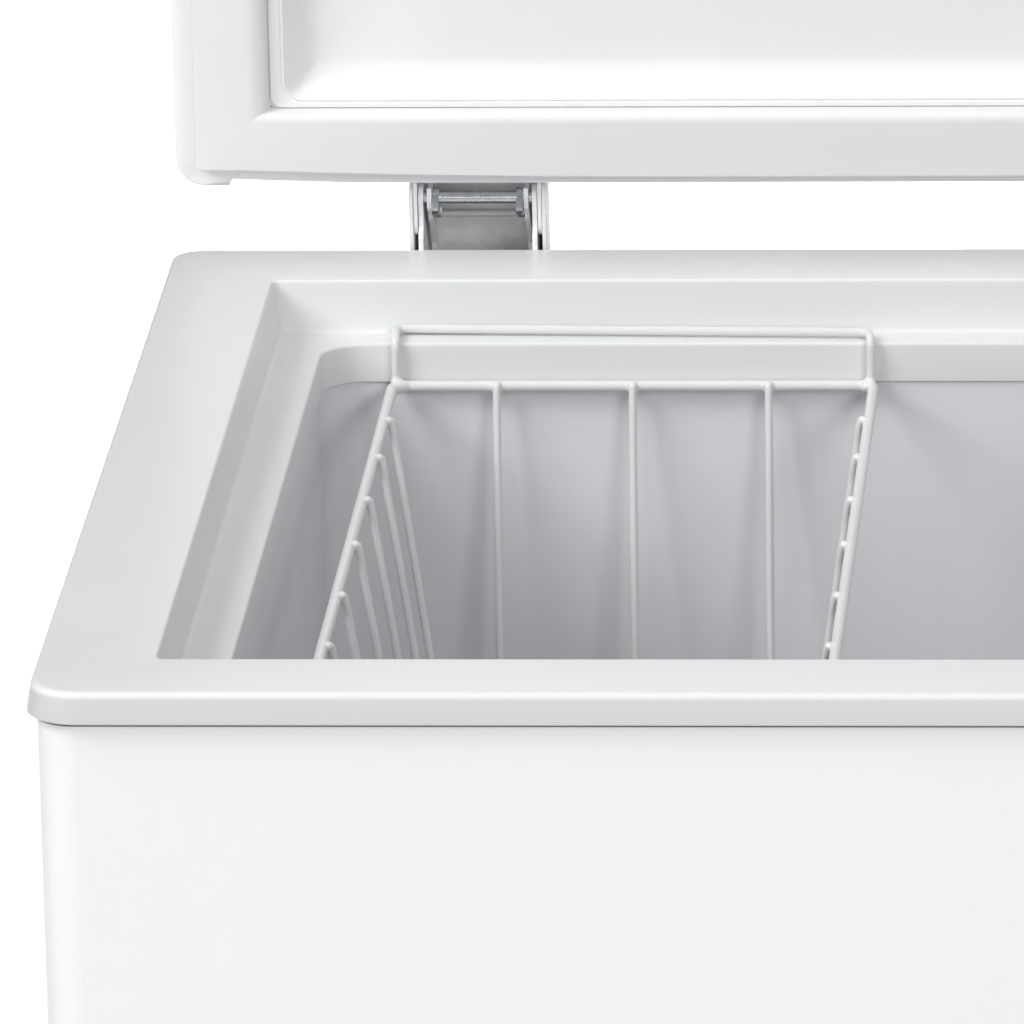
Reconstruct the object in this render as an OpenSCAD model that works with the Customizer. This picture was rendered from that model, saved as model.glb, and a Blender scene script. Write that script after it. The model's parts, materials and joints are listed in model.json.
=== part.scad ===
// Chest freezer: a foamed cabinet with a stepped top collar, a lid on two
// spring hinges, a wire basket hanging from the collar's ledge, and a
// compressor bay under a step at the right-hand end. The lid stands open.
// Millimetres, +Z up, front towards -Y. The origin is on the floor, under
// the middle of the box round the whole object.

/* [Cabinet] */
// Width of the collar's top face
collar_w = 946; // [930:1:960]
// Depth of the collar's top face
collar_d = 530; // [520:1:540]
// Height of the collar's top face above the floor
collar_z = 795; // [780:1:830]
// How far the lip's lower edge stands out past the top face, front and sides
lip_flare = 2; // [0.5:0.1:2.5]
// How far the lip's lower edge stands out past the skin, front and sides
lip_out = 3.7; // [3:0.1:4.5]
// Height of the collar's outer lip
lip_h = 11.2; // [9:0.1:12]
// Height of the feet
foot_h = 20; // [16:1:24]
// Thickness of the steel skin
skin_t = 1; // [0.8:0.1:1.4]

/* [Opening] */
// Width of the collar's flat top at the sides
band_side = 40.8; // [38:0.1:43]
// Width of the collar's flat top at the rear
band_rear = 41; // [38:0.5:43]
// Width of the collar's flat top at the front
band_front = 37; // [35:0.5:41]
// Depth from the collar's top to the ledge
ledge_drop = 20.3; // [19:0.1:22]
// Draft of the wall above the ledge
wall_draft = 2.4; // [1:0.1:2.8]
// Depth from the collar's top to the seam with the liner
seam_drop = 35.5; // [34:0.5:38]
// Half width of the throat below the ledge
throat_x = 412.4; // [405:0.1:414]
// Half depth of the throat below the ledge
throat_y = 208.7; // [200:0.1:210]
// Height of the liner's floor above the floor the freezer stands on
liner_floor_z = 95; // [90:1:110]

/* [Lid] */
// Width of the lid
lid_w = 944; // [940:1:950]
// Thickness of the lid
lid_t = 45; // [42:1:48]
// Gap between the collar and the closed lid, filled by the gasket
lid_gap = 10.3; // [10:0.1:11]
// Width of the gasket along the sides
gasket_side = 28.6; // [26:0.1:30]
// Width of the gasket along the front and rear
gasket_end = 25.8; // [24:0.1:28]
// Depth of the dish in the lid's inner panel
dish_h = 8; // [6:1:14]

/* [Hinges] */
// Distance of each hinge from the middle of the freezer
hinge_x = 357.9; // [340:0.1:370]
// How far the pivot lies behind the collar's rear edge
pivot_back = 8.5; // [8.3:0.1:9]
// Height of the pivot above the collar's top
pivot_up = 18; // [17.5:0.1:18.5]
// Travel of the spring plunger while the lid closes
plunger_travel = 6; // [4:0.5:6]
// Radius of the pivot pin
pin_r = 2.4; // [2:0.1:2.6]

/* [Basket] */
// Middle of the basket, left of the freezer's middle
basket_x = -296.2; // [-310:0.1:-100]
// Width of the basket's rim, between wire centres
basket_w = 180.6; // [170:0.1:190]
// Height of the basket below its rim
basket_h = 225; // [180:5:240]
// Thickness of the rim wire
rim_d = 4.1; // [3.4:0.1:4.2]
// Thickness of the upright wires
wire_d = 2.6; // [2:0.1:2.8]
// Inward lean of the basket's sides, in degrees
basket_lean = 8.5; // [4:0.5:9]

/* [Machine bay] */
// Left wall of the compressor bay
bay_x = 215; // [205:5:235]
// Top of the compressor bay
bay_z = 270; // [255:5:275]
// Thickness of foam round the bay
bay_foam = 60; // [50:5:60]

/* [Hidden] */
$fn = 48;

// ---- derived places -------------------------------------------------------
eps = 0.02;
white = [0.95, 0.95, 0.96];
grey_white = [0.87, 0.88, 0.89];
steel = [0.72, 0.73, 0.75];

front_y = -collar_d / 2;
rear_y = collar_d / 2;
lip_front = front_y - lip_flare;
lip_w = collar_w + 2 * lip_flare;
skin_w = lip_w - 2 * lip_out;
skin_front = lip_front + lip_out;
front_r = 17;
rear_r = 10;
deck_t = 3;
wall_t = 3;
deck_z = collar_z - deck_t;
ledge_z = collar_z - ledge_drop;
seam_z = collar_z - seam_drop;
pan_t = 1.2;
inside_z = foot_h + pan_t;

open_x = collar_w / 2 - band_side;
open_front = front_y + band_front;
open_rear = rear_y - band_rear;

liner_t = 1.5;
liner_x = throat_x + 1;
liner_y = throat_y + 1;
liner_r = 17;
hump_z = bay_z + bay_foam;
hump_x = bay_x - bay_foam;

pivot_y = rear_y + pivot_back;
pivot_z = collar_z + pivot_up;
lid_under = collar_z + lid_gap;
lid_top = lid_under + lid_t;
lid_front = front_y - 2;
lid_rear = rear_y + 1;
lid_skin = 1;
// height of the open lid's rear face above the pivot
lid_lift = pivot_y - lid_rear;

// The lid's open box reaches further back than anything on the cabinet.
open_lid_rear = pivot_y + (lid_top - pivot_z);
y_shift = -(lip_front + open_lid_rear) / 2;

// ---- helpers --------------------------------------------------------------
// Everything is drawn about the collar's middle and moved once to the origin.
module placed() translate([0, y_shift, 0]) children();

// Turns a lid drawn closed into the open lid.
module opened()
    translate([0, pivot_y, pivot_z])
        rotate([-90, 0, 0])
            translate([0, -pivot_y, -pivot_z])
                children();

// Outline with front and rear corner radii of its own.
module outline(x0, x1, y0, y1, rf, rr) {
    translate([x0, y0 + rf])
        square([x1 - x0, y1 - rr - y0 - rf]);
    translate([x0 + rf, y0])
        square([x1 - x0 - 2 * rf, rf + 1]);
    translate([x0 + rr, y1 - rr - 1])
        square([x1 - x0 - 2 * rr, rr + 1]);
    for (x = [x0 + rf, x1 - rf])
        translate([x, y0 + rf])
            circle(rf);
    for (x = [x0 + rr, x1 - rr])
        translate([x, y1 - rr])
            circle(rr);
}

module slab(x0, x1, y0, y1, z0, z1, rf, rr)
    translate([0, 0, z0])
        linear_extrude(z1 - z0)
            outline(x0, x1, y0, y1, rf, rr);

module block(x0, x1, y0, y1, z0, z1)
    translate([x0, y0, z0])
        cube([x1 - x0, y1 - y0, z1 - z0]);

// Cylinder between two points.
module rod(a, b, r) {
    v = b - a;
    len = norm(v);
    turn = atan2(v.y, v.x);
    tilt = acos(v.z / len);
    translate(a)
        rotate([0, tilt, turn])
            cylinder(h = len, r = r);
}

// Round wire through points, with a slightly larger ball at each joint.
module wire(points, r) {
    for (i = [0 : len(points) - 2])
        rod(points[i], points[i + 1], r);
    for (p = points)
        translate(p)
            sphere(1.15 * r);
}

// Closed tube loop round a rounded rectangle at height z.
module tube_loop(x0, x1, y0, y1, z, bend, r) {
    for (y = [y0, y1])
        rod([x0 + bend, y, z], [x1 - bend, y, z], r);
    for (x = [x0, x1])
        rod([x, y0 + bend, z], [x, y1 - bend, z], r);
    corners = [[x1 - bend, y1 - bend, 0], [x0 + bend, y1 - bend, 90],
               [x0 + bend, y0 + bend, 180], [x1 - bend, y0 + bend, 270]];
    for (c = corners)
        translate([c.x, c.y, z])
            rotate([0, 0, c.z])
                rotate_extrude(angle = 90)
                    translate([bend, 0])
                        circle(r);
}

function unit(v) = v / norm(v);
function tangent(path, i) =
    unit(path[min(i + 1, len(path) - 1)] - path[max(i - 1, 0)]);

// Path with each inner corner rounded off, starting d before it.
function rounded(path, d) = [
    path[0],
    for (i = [1 : len(path) - 2])
        let (a = path[i] - d * unit(path[i] - path[i - 1]),
             b = path[i] + d * unit(path[i + 1] - path[i]))
            for (t = [0 : 0.25 : 1])
                (1 - t) * (1 - t) * a + 2 * t * (1 - t) * path[i] + t * t * b,
    path[len(path) - 1]
];

// Wire swept along a path; side is a direction the path never runs in.
module sweep(path, r, sides, side) {
    last = len(path) - 1;
    points = [
        for (i = [0 : last])
            let (t = tangent(path, i), a = unit(cross(side, t)), b = cross(t, a))
                for (k = [0 : sides - 1])
                    path[i] + r * (cos(360 * k / sides) * a + sin(360 * k / sides) * b)
    ];
    faces = concat(
        [[for (k = [0 : sides - 1]) k]],
        [for (i = [0 : last - 1], k = [0 : sides - 1], half = [0, 1])
            let (n = (k + 1) % sides, lo = i * sides, hi = lo + sides)
                half == 0 ? [lo + k, hi + k, hi + n] : [lo + k, hi + n, lo + n]],
        [[for (k = [sides - 1 : -1 : 0]) last * sides + k]]);
    polyhedron(points, faces, convexity = 10);
}

// A plate lying in a plane of constant x, drawn with (y, z) coordinates.
module side_plate(x0, x1)
    translate([x0, 0, 0])
        rotate([90, 0, 90])
            linear_extrude(x1 - x0)
                children();

// ---- cabinet --------------------------------------------------------------
vent_y0 = -60;
vent_y1 = 200;
vent_z0 = 60;
vent_z1 = 230;
panel_x = 345;
panel_z = 130;
panel_w = 150;
panel_h = 62;
drain_x = -330;
drain_z = 52;
drain_r = 9;
hatch_x0 = 232;
hatch_x1 = 422;
hatch_z0 = 58;
hatch_z1 = 258;
hatch_lap = 12;
gland_x = hatch_x1 - 26;
gland_z = hatch_z0 + 30;
hinge_screw_z = [collar_z - 30, collar_z - 70, collar_z - 110];
flange_x = 34;

// Places of the screws that hold the hinge bases to the rear.
module hinge_screw_places()
    for (s = [-1, 1], z = hinge_screw_z, side = [-1, 1])
        translate([s * hinge_x + side * flange_x, rear_y, z])
            rotate([-90, 0, 0])
                children();

// Front and side skin in one wrap, with return flanges at the rear.
module cabinet_shell() color(white) placed()
    difference() {
        slab(-skin_w / 2, skin_w / 2, skin_front, rear_y, foot_h, deck_z, 14, rear_r);
        slab(-skin_w / 2 + skin_t, skin_w / 2 - skin_t, skin_front + skin_t, rear_y - skin_t,
             foot_h - 1, deck_z + 1, 13, rear_r - 1);
        // window behind which the rear panel lies
        block(-440, 440, rear_y - 5, rear_y + 5, 45, collar_z - 160);
        block(skin_w / 2 - 5, skin_w / 2 + 5, vent_y0, vent_y1, vent_z0, vent_z1);
        block(panel_x - panel_w / 2, panel_x + panel_w / 2, skin_front - 5, skin_front + 5,
              panel_z - panel_h / 2, panel_z + panel_h / 2);
        translate([drain_x, skin_front - 5, drain_z])
            rotate([-90, 0, 0])
                cylinder(h = 10, r = drain_r + 0.3);
        translate([0, -2, 0])
            hinge_screw_places()
                cylinder(h = 4, r = 2.2);
    }

// Galvanised sheet behind the window, with the hatch to the machine bay.
module rear_panel() color(steel) placed()
    difference() {
        block(-455, 455, rear_y - 2 * skin_t, rear_y - skin_t, foot_h + 6, collar_z - 14);
        block(hatch_x0, hatch_x1, rear_y - 5, rear_y + 5, hatch_z0, hatch_z1);
        translate([0, -4, 0])
            hinge_screw_places()
                cylinder(h = 5, r = 2.2);
        panel_screw_places()
            cylinder(h = 6, r = 1.9, center = true);
    }

// Places of the screws round the bay cover.
module panel_screw_places()
    for (x = [hatch_x0 - 7, hatch_x1 + 7], z = [hatch_z0 + 20, hatch_z1 - 20])
        translate([x, rear_y, z])
            rotate([-90, 0, 0])
                children();

// Bottom sheet under the foam.
module base_pan() color(steel) placed()
    difference() {
        slab(-skin_w / 2 + skin_t, skin_w / 2 - skin_t, skin_front + skin_t, rear_y - 2 * skin_t,
             foot_h, inside_z, 13, 9);
        block(bay_x + 12, skin_w / 2 - skin_t - 12, skin_front + 40, rear_y - 40,
              foot_h - 1, inside_z + 1);
        foot_places()
            translate([0, 0, foot_h - 1])
                cylinder(h = 4, r = 2.7);
    }

module foot_places()
    for (x = [-430, 430], y = [skin_front + 42, rear_y - 42])
        translate([x, y, 0])
            children();

// Moulded feet, one at each corner.
module feet() color([0.25, 0.25, 0.26]) placed()
    foot_places()
        difference() {
            union() {
                cylinder(h = 4, r = 21);
                translate([0, 0, 4 - eps])
                    cylinder(h = foot_h - 4 + eps, r1 = 21, r2 = 25);
            }
            translate([0, 0, -1])
                cylinder(h = 12, r = 6);
            cylinder(h = foot_h + 1, r = 2.7);
        }

module foot_screws() color(steel) placed()
    foot_places() {
        translate([0, 0, 7])
            cylinder(h = 4, r = 5);
        translate([0, 0, 7])
            cylinder(h = foot_h - 7 + 8, r = 2.5);
    }

// ---- collar, liner and foam ----------------------------------------------
module upper_opening(grow)
    hull() {
        slab(-open_x + wall_draft - grow, open_x - wall_draft + grow,
             open_front + wall_draft / 2 - grow, open_rear - wall_draft / 2 + grow,
             ledge_z, ledge_z + eps, 3 + grow, 3 + grow, $fn = 24);
        slab(-open_x - grow, open_x + grow, open_front - grow, open_rear + grow,
             collar_z, collar_z + eps, 3 + grow, 3 + grow, $fn = 24);
    }

module throat(z0, z1, grow)
    slab(-throat_x - grow, throat_x + grow, -throat_y - grow, throat_y + grow, z0, z1,
         16 + grow, 16 + grow);

// Moulded frame with the outer lip, flat top, ledge and throat.
module top_collar() color(grey_white) placed()
    difference() {
        union() {
            hull() {
                slab(-collar_w / 2, collar_w / 2, front_y, rear_y, collar_z - eps, collar_z,
                     front_r, rear_r);
                slab(-lip_w / 2, lip_w / 2, lip_front, rear_y, collar_z - lip_h,
                     collar_z - lip_h + eps, front_r + lip_flare, rear_r);
            }
            slab(-open_x - wall_t, open_x + wall_t, open_front - wall_t, open_rear + wall_t,
                 ledge_z - wall_t, collar_z - 1, 6, 6);
            throat(seam_z, ledge_z, wall_t);
        }
        // space under the deck for the top of the skin and the foam
        difference() {
            slab(-skin_w / 2 - 0.2, skin_w / 2 + 0.2, skin_front - 0.2, rear_y + 0.2,
                 collar_z - lip_h - 1, deck_z, 14.2, 0.5);
            slab(-open_x - wall_t, open_x + wall_t, open_front - wall_t, open_rear + wall_t,
                 collar_z - lip_h - 2, collar_z, 6, 6);
        }
        upper_opening(0);
        throat(seam_z - 1, ledge_z + eps, 0);
    }

// Volume of the liner grown by g.
module liner_volume(g, top) {
    slab(-liner_x - g, liner_x + g, -liner_y - g, liner_y + g, hump_z - g, top,
         liner_r + g, liner_r + g);
    slab(-liner_x - g, hump_x + g, -liner_y - g, liner_y + g, liner_floor_z - g, hump_z + 1,
         liner_r + g, liner_r + g);
}

module inner_liner() color(white) placed()
    difference() {
        union() {
            liner_volume(liner_t, seam_z);
            slab(-liner_x - 14, liner_x + 14, -liner_y - 12, liner_y + 12, seam_z - liner_t,
                 seam_z, liner_r + 10, liner_r + 10);
        }
        liner_volume(0, seam_z + 1);
        translate([drain_x, -150, liner_floor_z - 10])
            cylinder(h = 20, r = drain_r + 0.2);
    }

evap_r = 4;
evap_z = [for (i = [0 : 5]) hump_z + 50 + 62 * i];
evap_low_z = [for (i = [0 : 2]) liner_floor_z + 40 + 65 * i];
cond_r = 3;
cond_z = [for (i = [0 : 4]) bay_z + 60 + 85 * i];
coil_gap = 0.3;
evap_off = liner_t + coil_gap + evap_r;
cond_x = skin_w / 2 - skin_t - coil_gap - cond_r;
cond_front = skin_front + skin_t + coil_gap + cond_r;
cond_rear = rear_y - 2 * skin_t - coil_gap - cond_r;
riser_y = 60;

// Aluminium tube round the liner, joined by risers on the left wall.
module evaporator_coil() color([0.8, 0.8, 0.82]) placed() {
    for (z = evap_z)
        tube_loop(-liner_x - evap_off, liner_x + evap_off, -liner_y - evap_off,
                  liner_y + evap_off, z, liner_r + evap_off, evap_r);
    for (z = evap_low_z)
        tube_loop(-liner_x - evap_off, hump_x + evap_off, -liner_y - evap_off,
                  liner_y + evap_off, z, liner_r + evap_off, evap_r);
    rod([-liner_x - evap_off, riser_y, evap_low_z[0]], [-liner_x - evap_off, riser_y, evap_z[5]],
        evap_r - 0.5);
}

// Copper-plated tube inside the skin, which sheds the heat.
module condenser_coil() color([0.6, 0.4, 0.3]) placed() {
    for (z = cond_z)
        tube_loop(-cond_x, cond_x, cond_front, cond_rear, z, 14, cond_r);
    rod([cond_x, riser_y, cond_z[0]], [cond_x, riser_y, cond_z[4]], cond_r - 0.4);
}

module coil_grooves() {
    g = coil_gap + evap_r;
    for (z = evap_z)
        slab(-liner_x - evap_off - g, liner_x + evap_off + g, -liner_y - evap_off - g,
             liner_y + evap_off + g, z - g, z + g, liner_r + evap_off + g,
             liner_r + evap_off + g);
    for (z = evap_low_z)
        slab(-liner_x - evap_off - g, hump_x + evap_off + g, -liner_y - evap_off - g,
             liner_y + evap_off + g, z - g, z + g, liner_r + evap_off + g,
             liner_r + evap_off + g);
    block(-liner_x - evap_off - g, -liner_x, riser_y - g, riser_y + g, evap_low_z[0],
          evap_z[5]);
    c = coil_gap + cond_r;
    for (z = cond_z)
        difference() {
            block(-skin_w, skin_w, front_y, rear_y, z - c, z + c);
            slab(-cond_x + c, cond_x - c, cond_front + c, cond_rear - c, z - c - 1, z + c + 1,
                 11, 11);
        }
    block(cond_x - c, skin_w / 2, riser_y - c, riser_y + c, cond_z[0], cond_z[4]);
}

// Foam that fills the space between skin, liner, collar and machine bay.
module foam_insulation() color([0.93, 0.86, 0.6]) placed()
    difference() {
        slab(-skin_w / 2 + skin_t, skin_w / 2 - skin_t, skin_front + skin_t,
             rear_y - 2 * skin_t, inside_z, deck_z, 13, 3);
        liner_volume(liner_t, seam_z);
        slab(-liner_x - 14, liner_x + 14, -liner_y - 12, liner_y + 12, seam_z - liner_t,
             seam_z, liner_r + 10, liner_r + 10);
        throat(seam_z - 1, collar_z, wall_t);
        slab(-open_x - wall_t, open_x + wall_t, open_front - wall_t, open_rear + wall_t,
             ledge_z - wall_t, collar_z, 6, 6);
        block(bay_x - pan_t, skin_w, front_y, rear_y, 0, bay_z + pan_t);
        coil_grooves();
        // pockets for the drain, the screws and the rear flanges' corners
        translate([drain_x, -150, inside_z - 1])
            cylinder(h = 100, r = drain_r + 4);
        translate([drain_x, front_y, drain_z])
            rotate([-90, 0, 0])
                cylinder(h = 130, r = drain_r + 4);
        translate([drain_x, -150, drain_z])
            sphere(drain_r + 4);
        foot_places()
            translate([0, 0, foot_h])
                cylinder(h = 12, r = 4);
        translate([0, -16, 0])
            hinge_screw_places()
                cylinder(h = 20, r = 3);
        block(-skin_w, -454, rear_y - 12, rear_y, 0, collar_z);
        block(454, skin_w, rear_y - 12, rear_y, 0, collar_z);
    }

// ---- defrost drain --------------------------------------------------------
// Bent tube from the liner's floor to the front.
module drain_tube() color([0.9, 0.9, 0.9]) placed()
    difference() {
        union() {
            translate([drain_x, -150, drain_z])
                cylinder(h = liner_floor_z - drain_z - 0.4, r = drain_r);
            translate([drain_x, skin_front - 1, drain_z])
                rotate([-90, 0, 0])
                    cylinder(h = -150 - skin_front + 1, r = drain_r);
            translate([drain_x, -150, drain_z])
                sphere(drain_r);
        }
        translate([drain_x, -150, drain_z])
            cylinder(h = 100, r = drain_r - 1.5);
        translate([drain_x, skin_front - 5, drain_z])
            rotate([-90, 0, 0])
                cylinder(h = -150 - skin_front + 5, r = drain_r - 1.5);
        translate([drain_x, -150, drain_z])
            sphere(drain_r - 1.5);
    }

// Plug that closes the drain in the liner's floor.
module drain_plug() color([0.85, 0.86, 0.88]) placed()
    translate([drain_x, -150, liner_floor_z + 0.3]) {
        cylinder(h = 3, r = 15);
        translate([0, 0, -12])
            cylinder(h = 12 + eps, r = drain_r - 1.9);
        difference() {
            translate([-1.5, -8, 2])
                cube([3, 16, 12]);
            translate([-2, 0, 9])
                rotate([0, 90, 0])
                    cylinder(h = 4, r = 3);
        }
    }

// Cap over the drain's outer end.
module drain_cap() color(white) placed()
    translate([drain_x, skin_front, drain_z])
        rotate([90, 0, 0])
            difference() {
                translate([0, 0, 0.3])
                    cylinder(h = 2.4, r = 15);
                translate([0, 0, 0])
                    cylinder(h = 1.3, r = drain_r + 0.4);
            }

// ---- machine bay ----------------------------------------------------------
comp_x = 342;
comp_y = 60;
plate_z = 30;
comp_foot = 92;

module compressor_bay() color(steel) placed() {
    block(bay_x - pan_t, bay_x, skin_front + skin_t, rear_y - 2 * skin_t, inside_z, bay_z);
    intersection() {
        slab(-skin_w / 2 + skin_t, skin_w / 2 - skin_t, skin_front + skin_t,
             rear_y - 2 * skin_t, bay_z, bay_z + pan_t, 13, 9);
        block(bay_x - pan_t, skin_w, front_y, rear_y, bay_z - 1, bay_z + 2);
    }
}

module comp_feet()
    for (x = [-1, 1], y = [-1, 1])
        translate([comp_x + x * comp_foot, comp_y + y * 60, 0])
            children();

// Pressed carrier for the compressor, standing on the base pan's edges.
module compressor_plate() color([0.2, 0.2, 0.21]) placed()
    difference() {
        union() {
            block(bay_x + 2, skin_w / 2 - skin_t - 2, comp_y - 80, comp_y + 80, plate_z,
                  plate_z + 2);
            for (x = [bay_x + 2, skin_w / 2 - skin_t - 4])
                block(x, x + 2, comp_y - 80, comp_y + 80, inside_z, plate_z + 1);
        }
        comp_feet()
            translate([0, 0, plate_z - 1])
                cylinder(h = 4, r = 5);
    }

module compressor_grommets() color([0.12, 0.12, 0.12]) placed()
    comp_feet()
        difference() {
            translate([0, 0, plate_z + 2])
                cylinder(h = 12, r = 10);
            translate([0, 0, plate_z])
                cylinder(h = 16, r = 4.3);
        }

module compressor_bolts() color(steel) placed()
    comp_feet() {
        translate([0, 0, plate_z - 5])
            cylinder(h = 5, r = 7, $fn = 6);
        translate([0, 0, plate_z - 3])
            cylinder(h = 24, r = 4);
        translate([0, 0, plate_z + 16.2])
            cylinder(h = 5, r = 6.5);
    }

// Welded shell on a pressed foot plate.
module compressor() color([0.1, 0.1, 0.11]) placed() {
    difference() {
        block(comp_x - comp_foot - 14, comp_x + comp_foot + 14, comp_y - 74, comp_y + 74,
              plate_z + 14, plate_z + 16);
        comp_feet()
            translate([0, 0, plate_z + 10])
                cylinder(h = 10, r = 4.3);
    }
    translate([comp_x, comp_y, plate_z + 15])
        rotate_extrude()
            polygon([[0, 0], [58, 0], [72, 22], [74, 24], [76, 70], [78, 70], [78, 78], [75, 78],
                     [73, 120], [60, 142], [34, 154], [0, 157]]);
    // sealed pipe stubs
    for (a = [200, 235, 320])
        translate([comp_x, comp_y, plate_z + 65])
            rotate([90, 0, a])
                cylinder(h = 84, r = 4);
}

// Relay and overload clipped to the compressor's side.
module start_relay() color([0.15, 0.15, 0.16]) placed()
    block(comp_x - 24, comp_x + 24, comp_y - 112, comp_y - 78.5, plate_z + 46, plate_z + 96);

drier_x = 250;
drier_y = 200;
drier_z = 120;
drier_h = 114;
pipe_r = 3.5;
pipe_gap = 1.15 * pipe_r + 0.1;

module filter_drier() color([0.75, 0.5, 0.35]) placed()
    translate([drier_x, drier_y, drier_z])
        rotate_extrude()
            polygon([[0, 0], [pipe_r, 0], [pipe_r, 12], [9.5, 22], [9.5, 92], [pipe_r, 102],
                     [pipe_r, drier_h], [0, drier_h]]);

// Copper lines in the bay, with balls as the bends.
module refrigerant_pipes() color([0.75, 0.5, 0.35]) placed() {
    wire([[drier_x, drier_y, drier_z - pipe_gap], [drier_x, drier_y, 60], [drier_x, 150, 60]],
         pipe_r);
    wire([[drier_x, drier_y, drier_z + drier_h + pipe_gap], [drier_x, drier_y, 255],
          [440, drier_y, 255]], pipe_r);
    wire([[235, -30, 60], [235, -30, 240], [235, -120, 240]], pipe_r);
}

// Louvred vent in the right-hand side.
module vent_grille() color([0.9, 0.9, 0.91]) placed() {
    slats = 9;
    pitch = (vent_z1 - vent_z0 - 12) / slats;
    difference() {
        block(skin_w / 2, skin_w / 2 + 2.5, vent_y0 - 8, vent_y1 + 8, vent_z0 - 8, vent_z1 + 8);
        for (i = [0 : slats - 1])
            block(skin_w / 2 - 5, skin_w / 2 + 5, vent_y0 + 6, vent_y1 - 6,
                  vent_z0 + 6 + i * pitch + 2, vent_z0 + 6 + i * pitch + pitch - 4);
    }
}

// Cover over the bay's rear hatch, with round air holes.
module bay_cover() color(steel) placed()
    difference() {
        block(hatch_x0 - hatch_lap, hatch_x1 + hatch_lap, rear_y - skin_t, rear_y + 0.2,
              hatch_z0 - hatch_lap, hatch_z1 + hatch_lap);
        for (x = [0 : 6], z = [0 : 4])
            translate([hatch_x0 + 26 + 23 * x, rear_y, hatch_z0 + 72 + 24 * z])
                rotate([90, 0, 0])
                    cylinder(h = 6, r = 5, center = true);
        translate([gland_x, rear_y, gland_z])
            rotate([90, 0, 0])
                cylinder(h = 6, r = 8.2, center = true);
        panel_screw_places()
            cylinder(h = 6, r = 1.9, center = true);
    }

module panel_screws() color(steel) placed()
    panel_screw_places()
        translate([0, 0, 0.2]) {
            cylinder(h = 2, r = 3.6);
            translate([0, 0, -6])
                cylinder(h = 6 + eps, r = 1.8);
        }

// Bush through which the supply lead enters.
module cord_gland() color([0.1, 0.1, 0.1]) placed()
    translate([gland_x, rear_y, gland_z])
        rotate([-90, 0, 0])
            difference() {
                union() {
                    translate([0, 0, -12])
                        cylinder(h = 14, r = 8);
                    translate([0, 0, 0.4])
                        cylinder(h = 5, r = 11);
                }
                translate([0, 0, -20])
                    cylinder(h = 40, r = 4);
            }

// ---- controls -------------------------------------------------------------
knob_x = panel_x + 38;
lamp_x = [panel_x - 52, panel_x - 24];
lamp_z = panel_z;

// Recessed tray in the front skin, with a shelf for the knob and lamps.
module control_bezel() color([0.9, 0.9, 0.91]) placed()
    difference() {
        union() {
            block(panel_x - panel_w / 2 - 6, panel_x + panel_w / 2 + 6, skin_front - 1.5,
                  skin_front, panel_z - panel_h / 2 - 6, panel_z + panel_h / 2 + 6);
            block(panel_x - panel_w / 2 + 0.3, panel_x + panel_w / 2 - 0.3, skin_front - 1,
                  skin_front + 14, panel_z - panel_h / 2 + 0.3, panel_z + panel_h / 2 - 0.3);
        }
        block(panel_x - panel_w / 2 + 3, panel_x + panel_w / 2 - 3, skin_front - 5,
              skin_front + 11.5, panel_z - panel_h / 2 + 3, panel_z + panel_h / 2 - 3);
        for (x = lamp_x)
            translate([x, skin_front, lamp_z])
                rotate([-90, 0, 0])
                    cylinder(h = 20, r = 4);
        translate([knob_x, skin_front, panel_z])
            rotate([-90, 0, 0])
                cylinder(h = 20, r = 4);
    }

module lamp(x)
    translate([x, skin_front + 9.5, lamp_z])
        rotate([-90, 0, 0]) {
            cylinder(h = 2, r = 5);
            cylinder(h = 10, r = 3.9);
        }

module power_lamp() color([0.2, 0.7, 0.3]) placed()
    lamp(lamp_x[0]);

module run_lamp() color([0.85, 0.6, 0.15]) placed()
    lamp(lamp_x[1]);

module thermostat_body() color([0.8, 0.8, 0.8]) placed()
    difference() {
        block(knob_x - 20, knob_x + 20, skin_front + 14.2, skin_front + 44, panel_z - 17,
              panel_z + 17);
        translate([knob_x, skin_front + 10, panel_z])
            rotate([-90, 0, 0])
                cylinder(h = 20, r = 3.4);
    }

// Knob with its spindle, a grip bar and a pointer groove.
module thermostat_knob() color([0.9, 0.9, 0.91]) placed()
    translate([knob_x, skin_front, panel_z])
        rotate([-90, 0, 0]) {
            translate([0, 0, 7])
                cylinder(h = 4, r = 19);
            difference() {
                translate([0, 0, -1])
                    cylinder(h = 9, r = 16.5);
                for (s = [-1, 1])
                    translate([s * 12 - 8, -20, -2])
                        cube([16, 40, 8]);
            }
            cylinder(h = 28, r = 3.35);
        }

// ---- hinges ---------------------------------------------------------------
cheek_t = 1.8;
base_in = 20.7;
base_out = base_in + cheek_t;
ear_r = 5.5;
arm_ear_r = 6.5;
web_y = 300;
base_bottom = collar_z - 140;
seat_z = collar_z - 128;
seat_t = 3;
head_z = collar_z - 58;
head_t = 3;
spring_y = 284;
arm_in = 22.8;
arm_out = 24.3;
arm_t = 1.6;
arm_len = 28;
arm_screw_x = [-11, 11];
arm_screw_y = [7, 20];
cover_in = 24.5;
cover_out = 26.1;
cover_top = collar_z + 21;
fork_in = 17.5;
fork_out = 19.2;
cam_in = 14.7;
cam_out = 17.2;
roller_r = 3.2;
roller_dy = 4.5;
roller_drop = 6;
cam_gap = 0.35;
cam_hub = 4;

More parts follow.
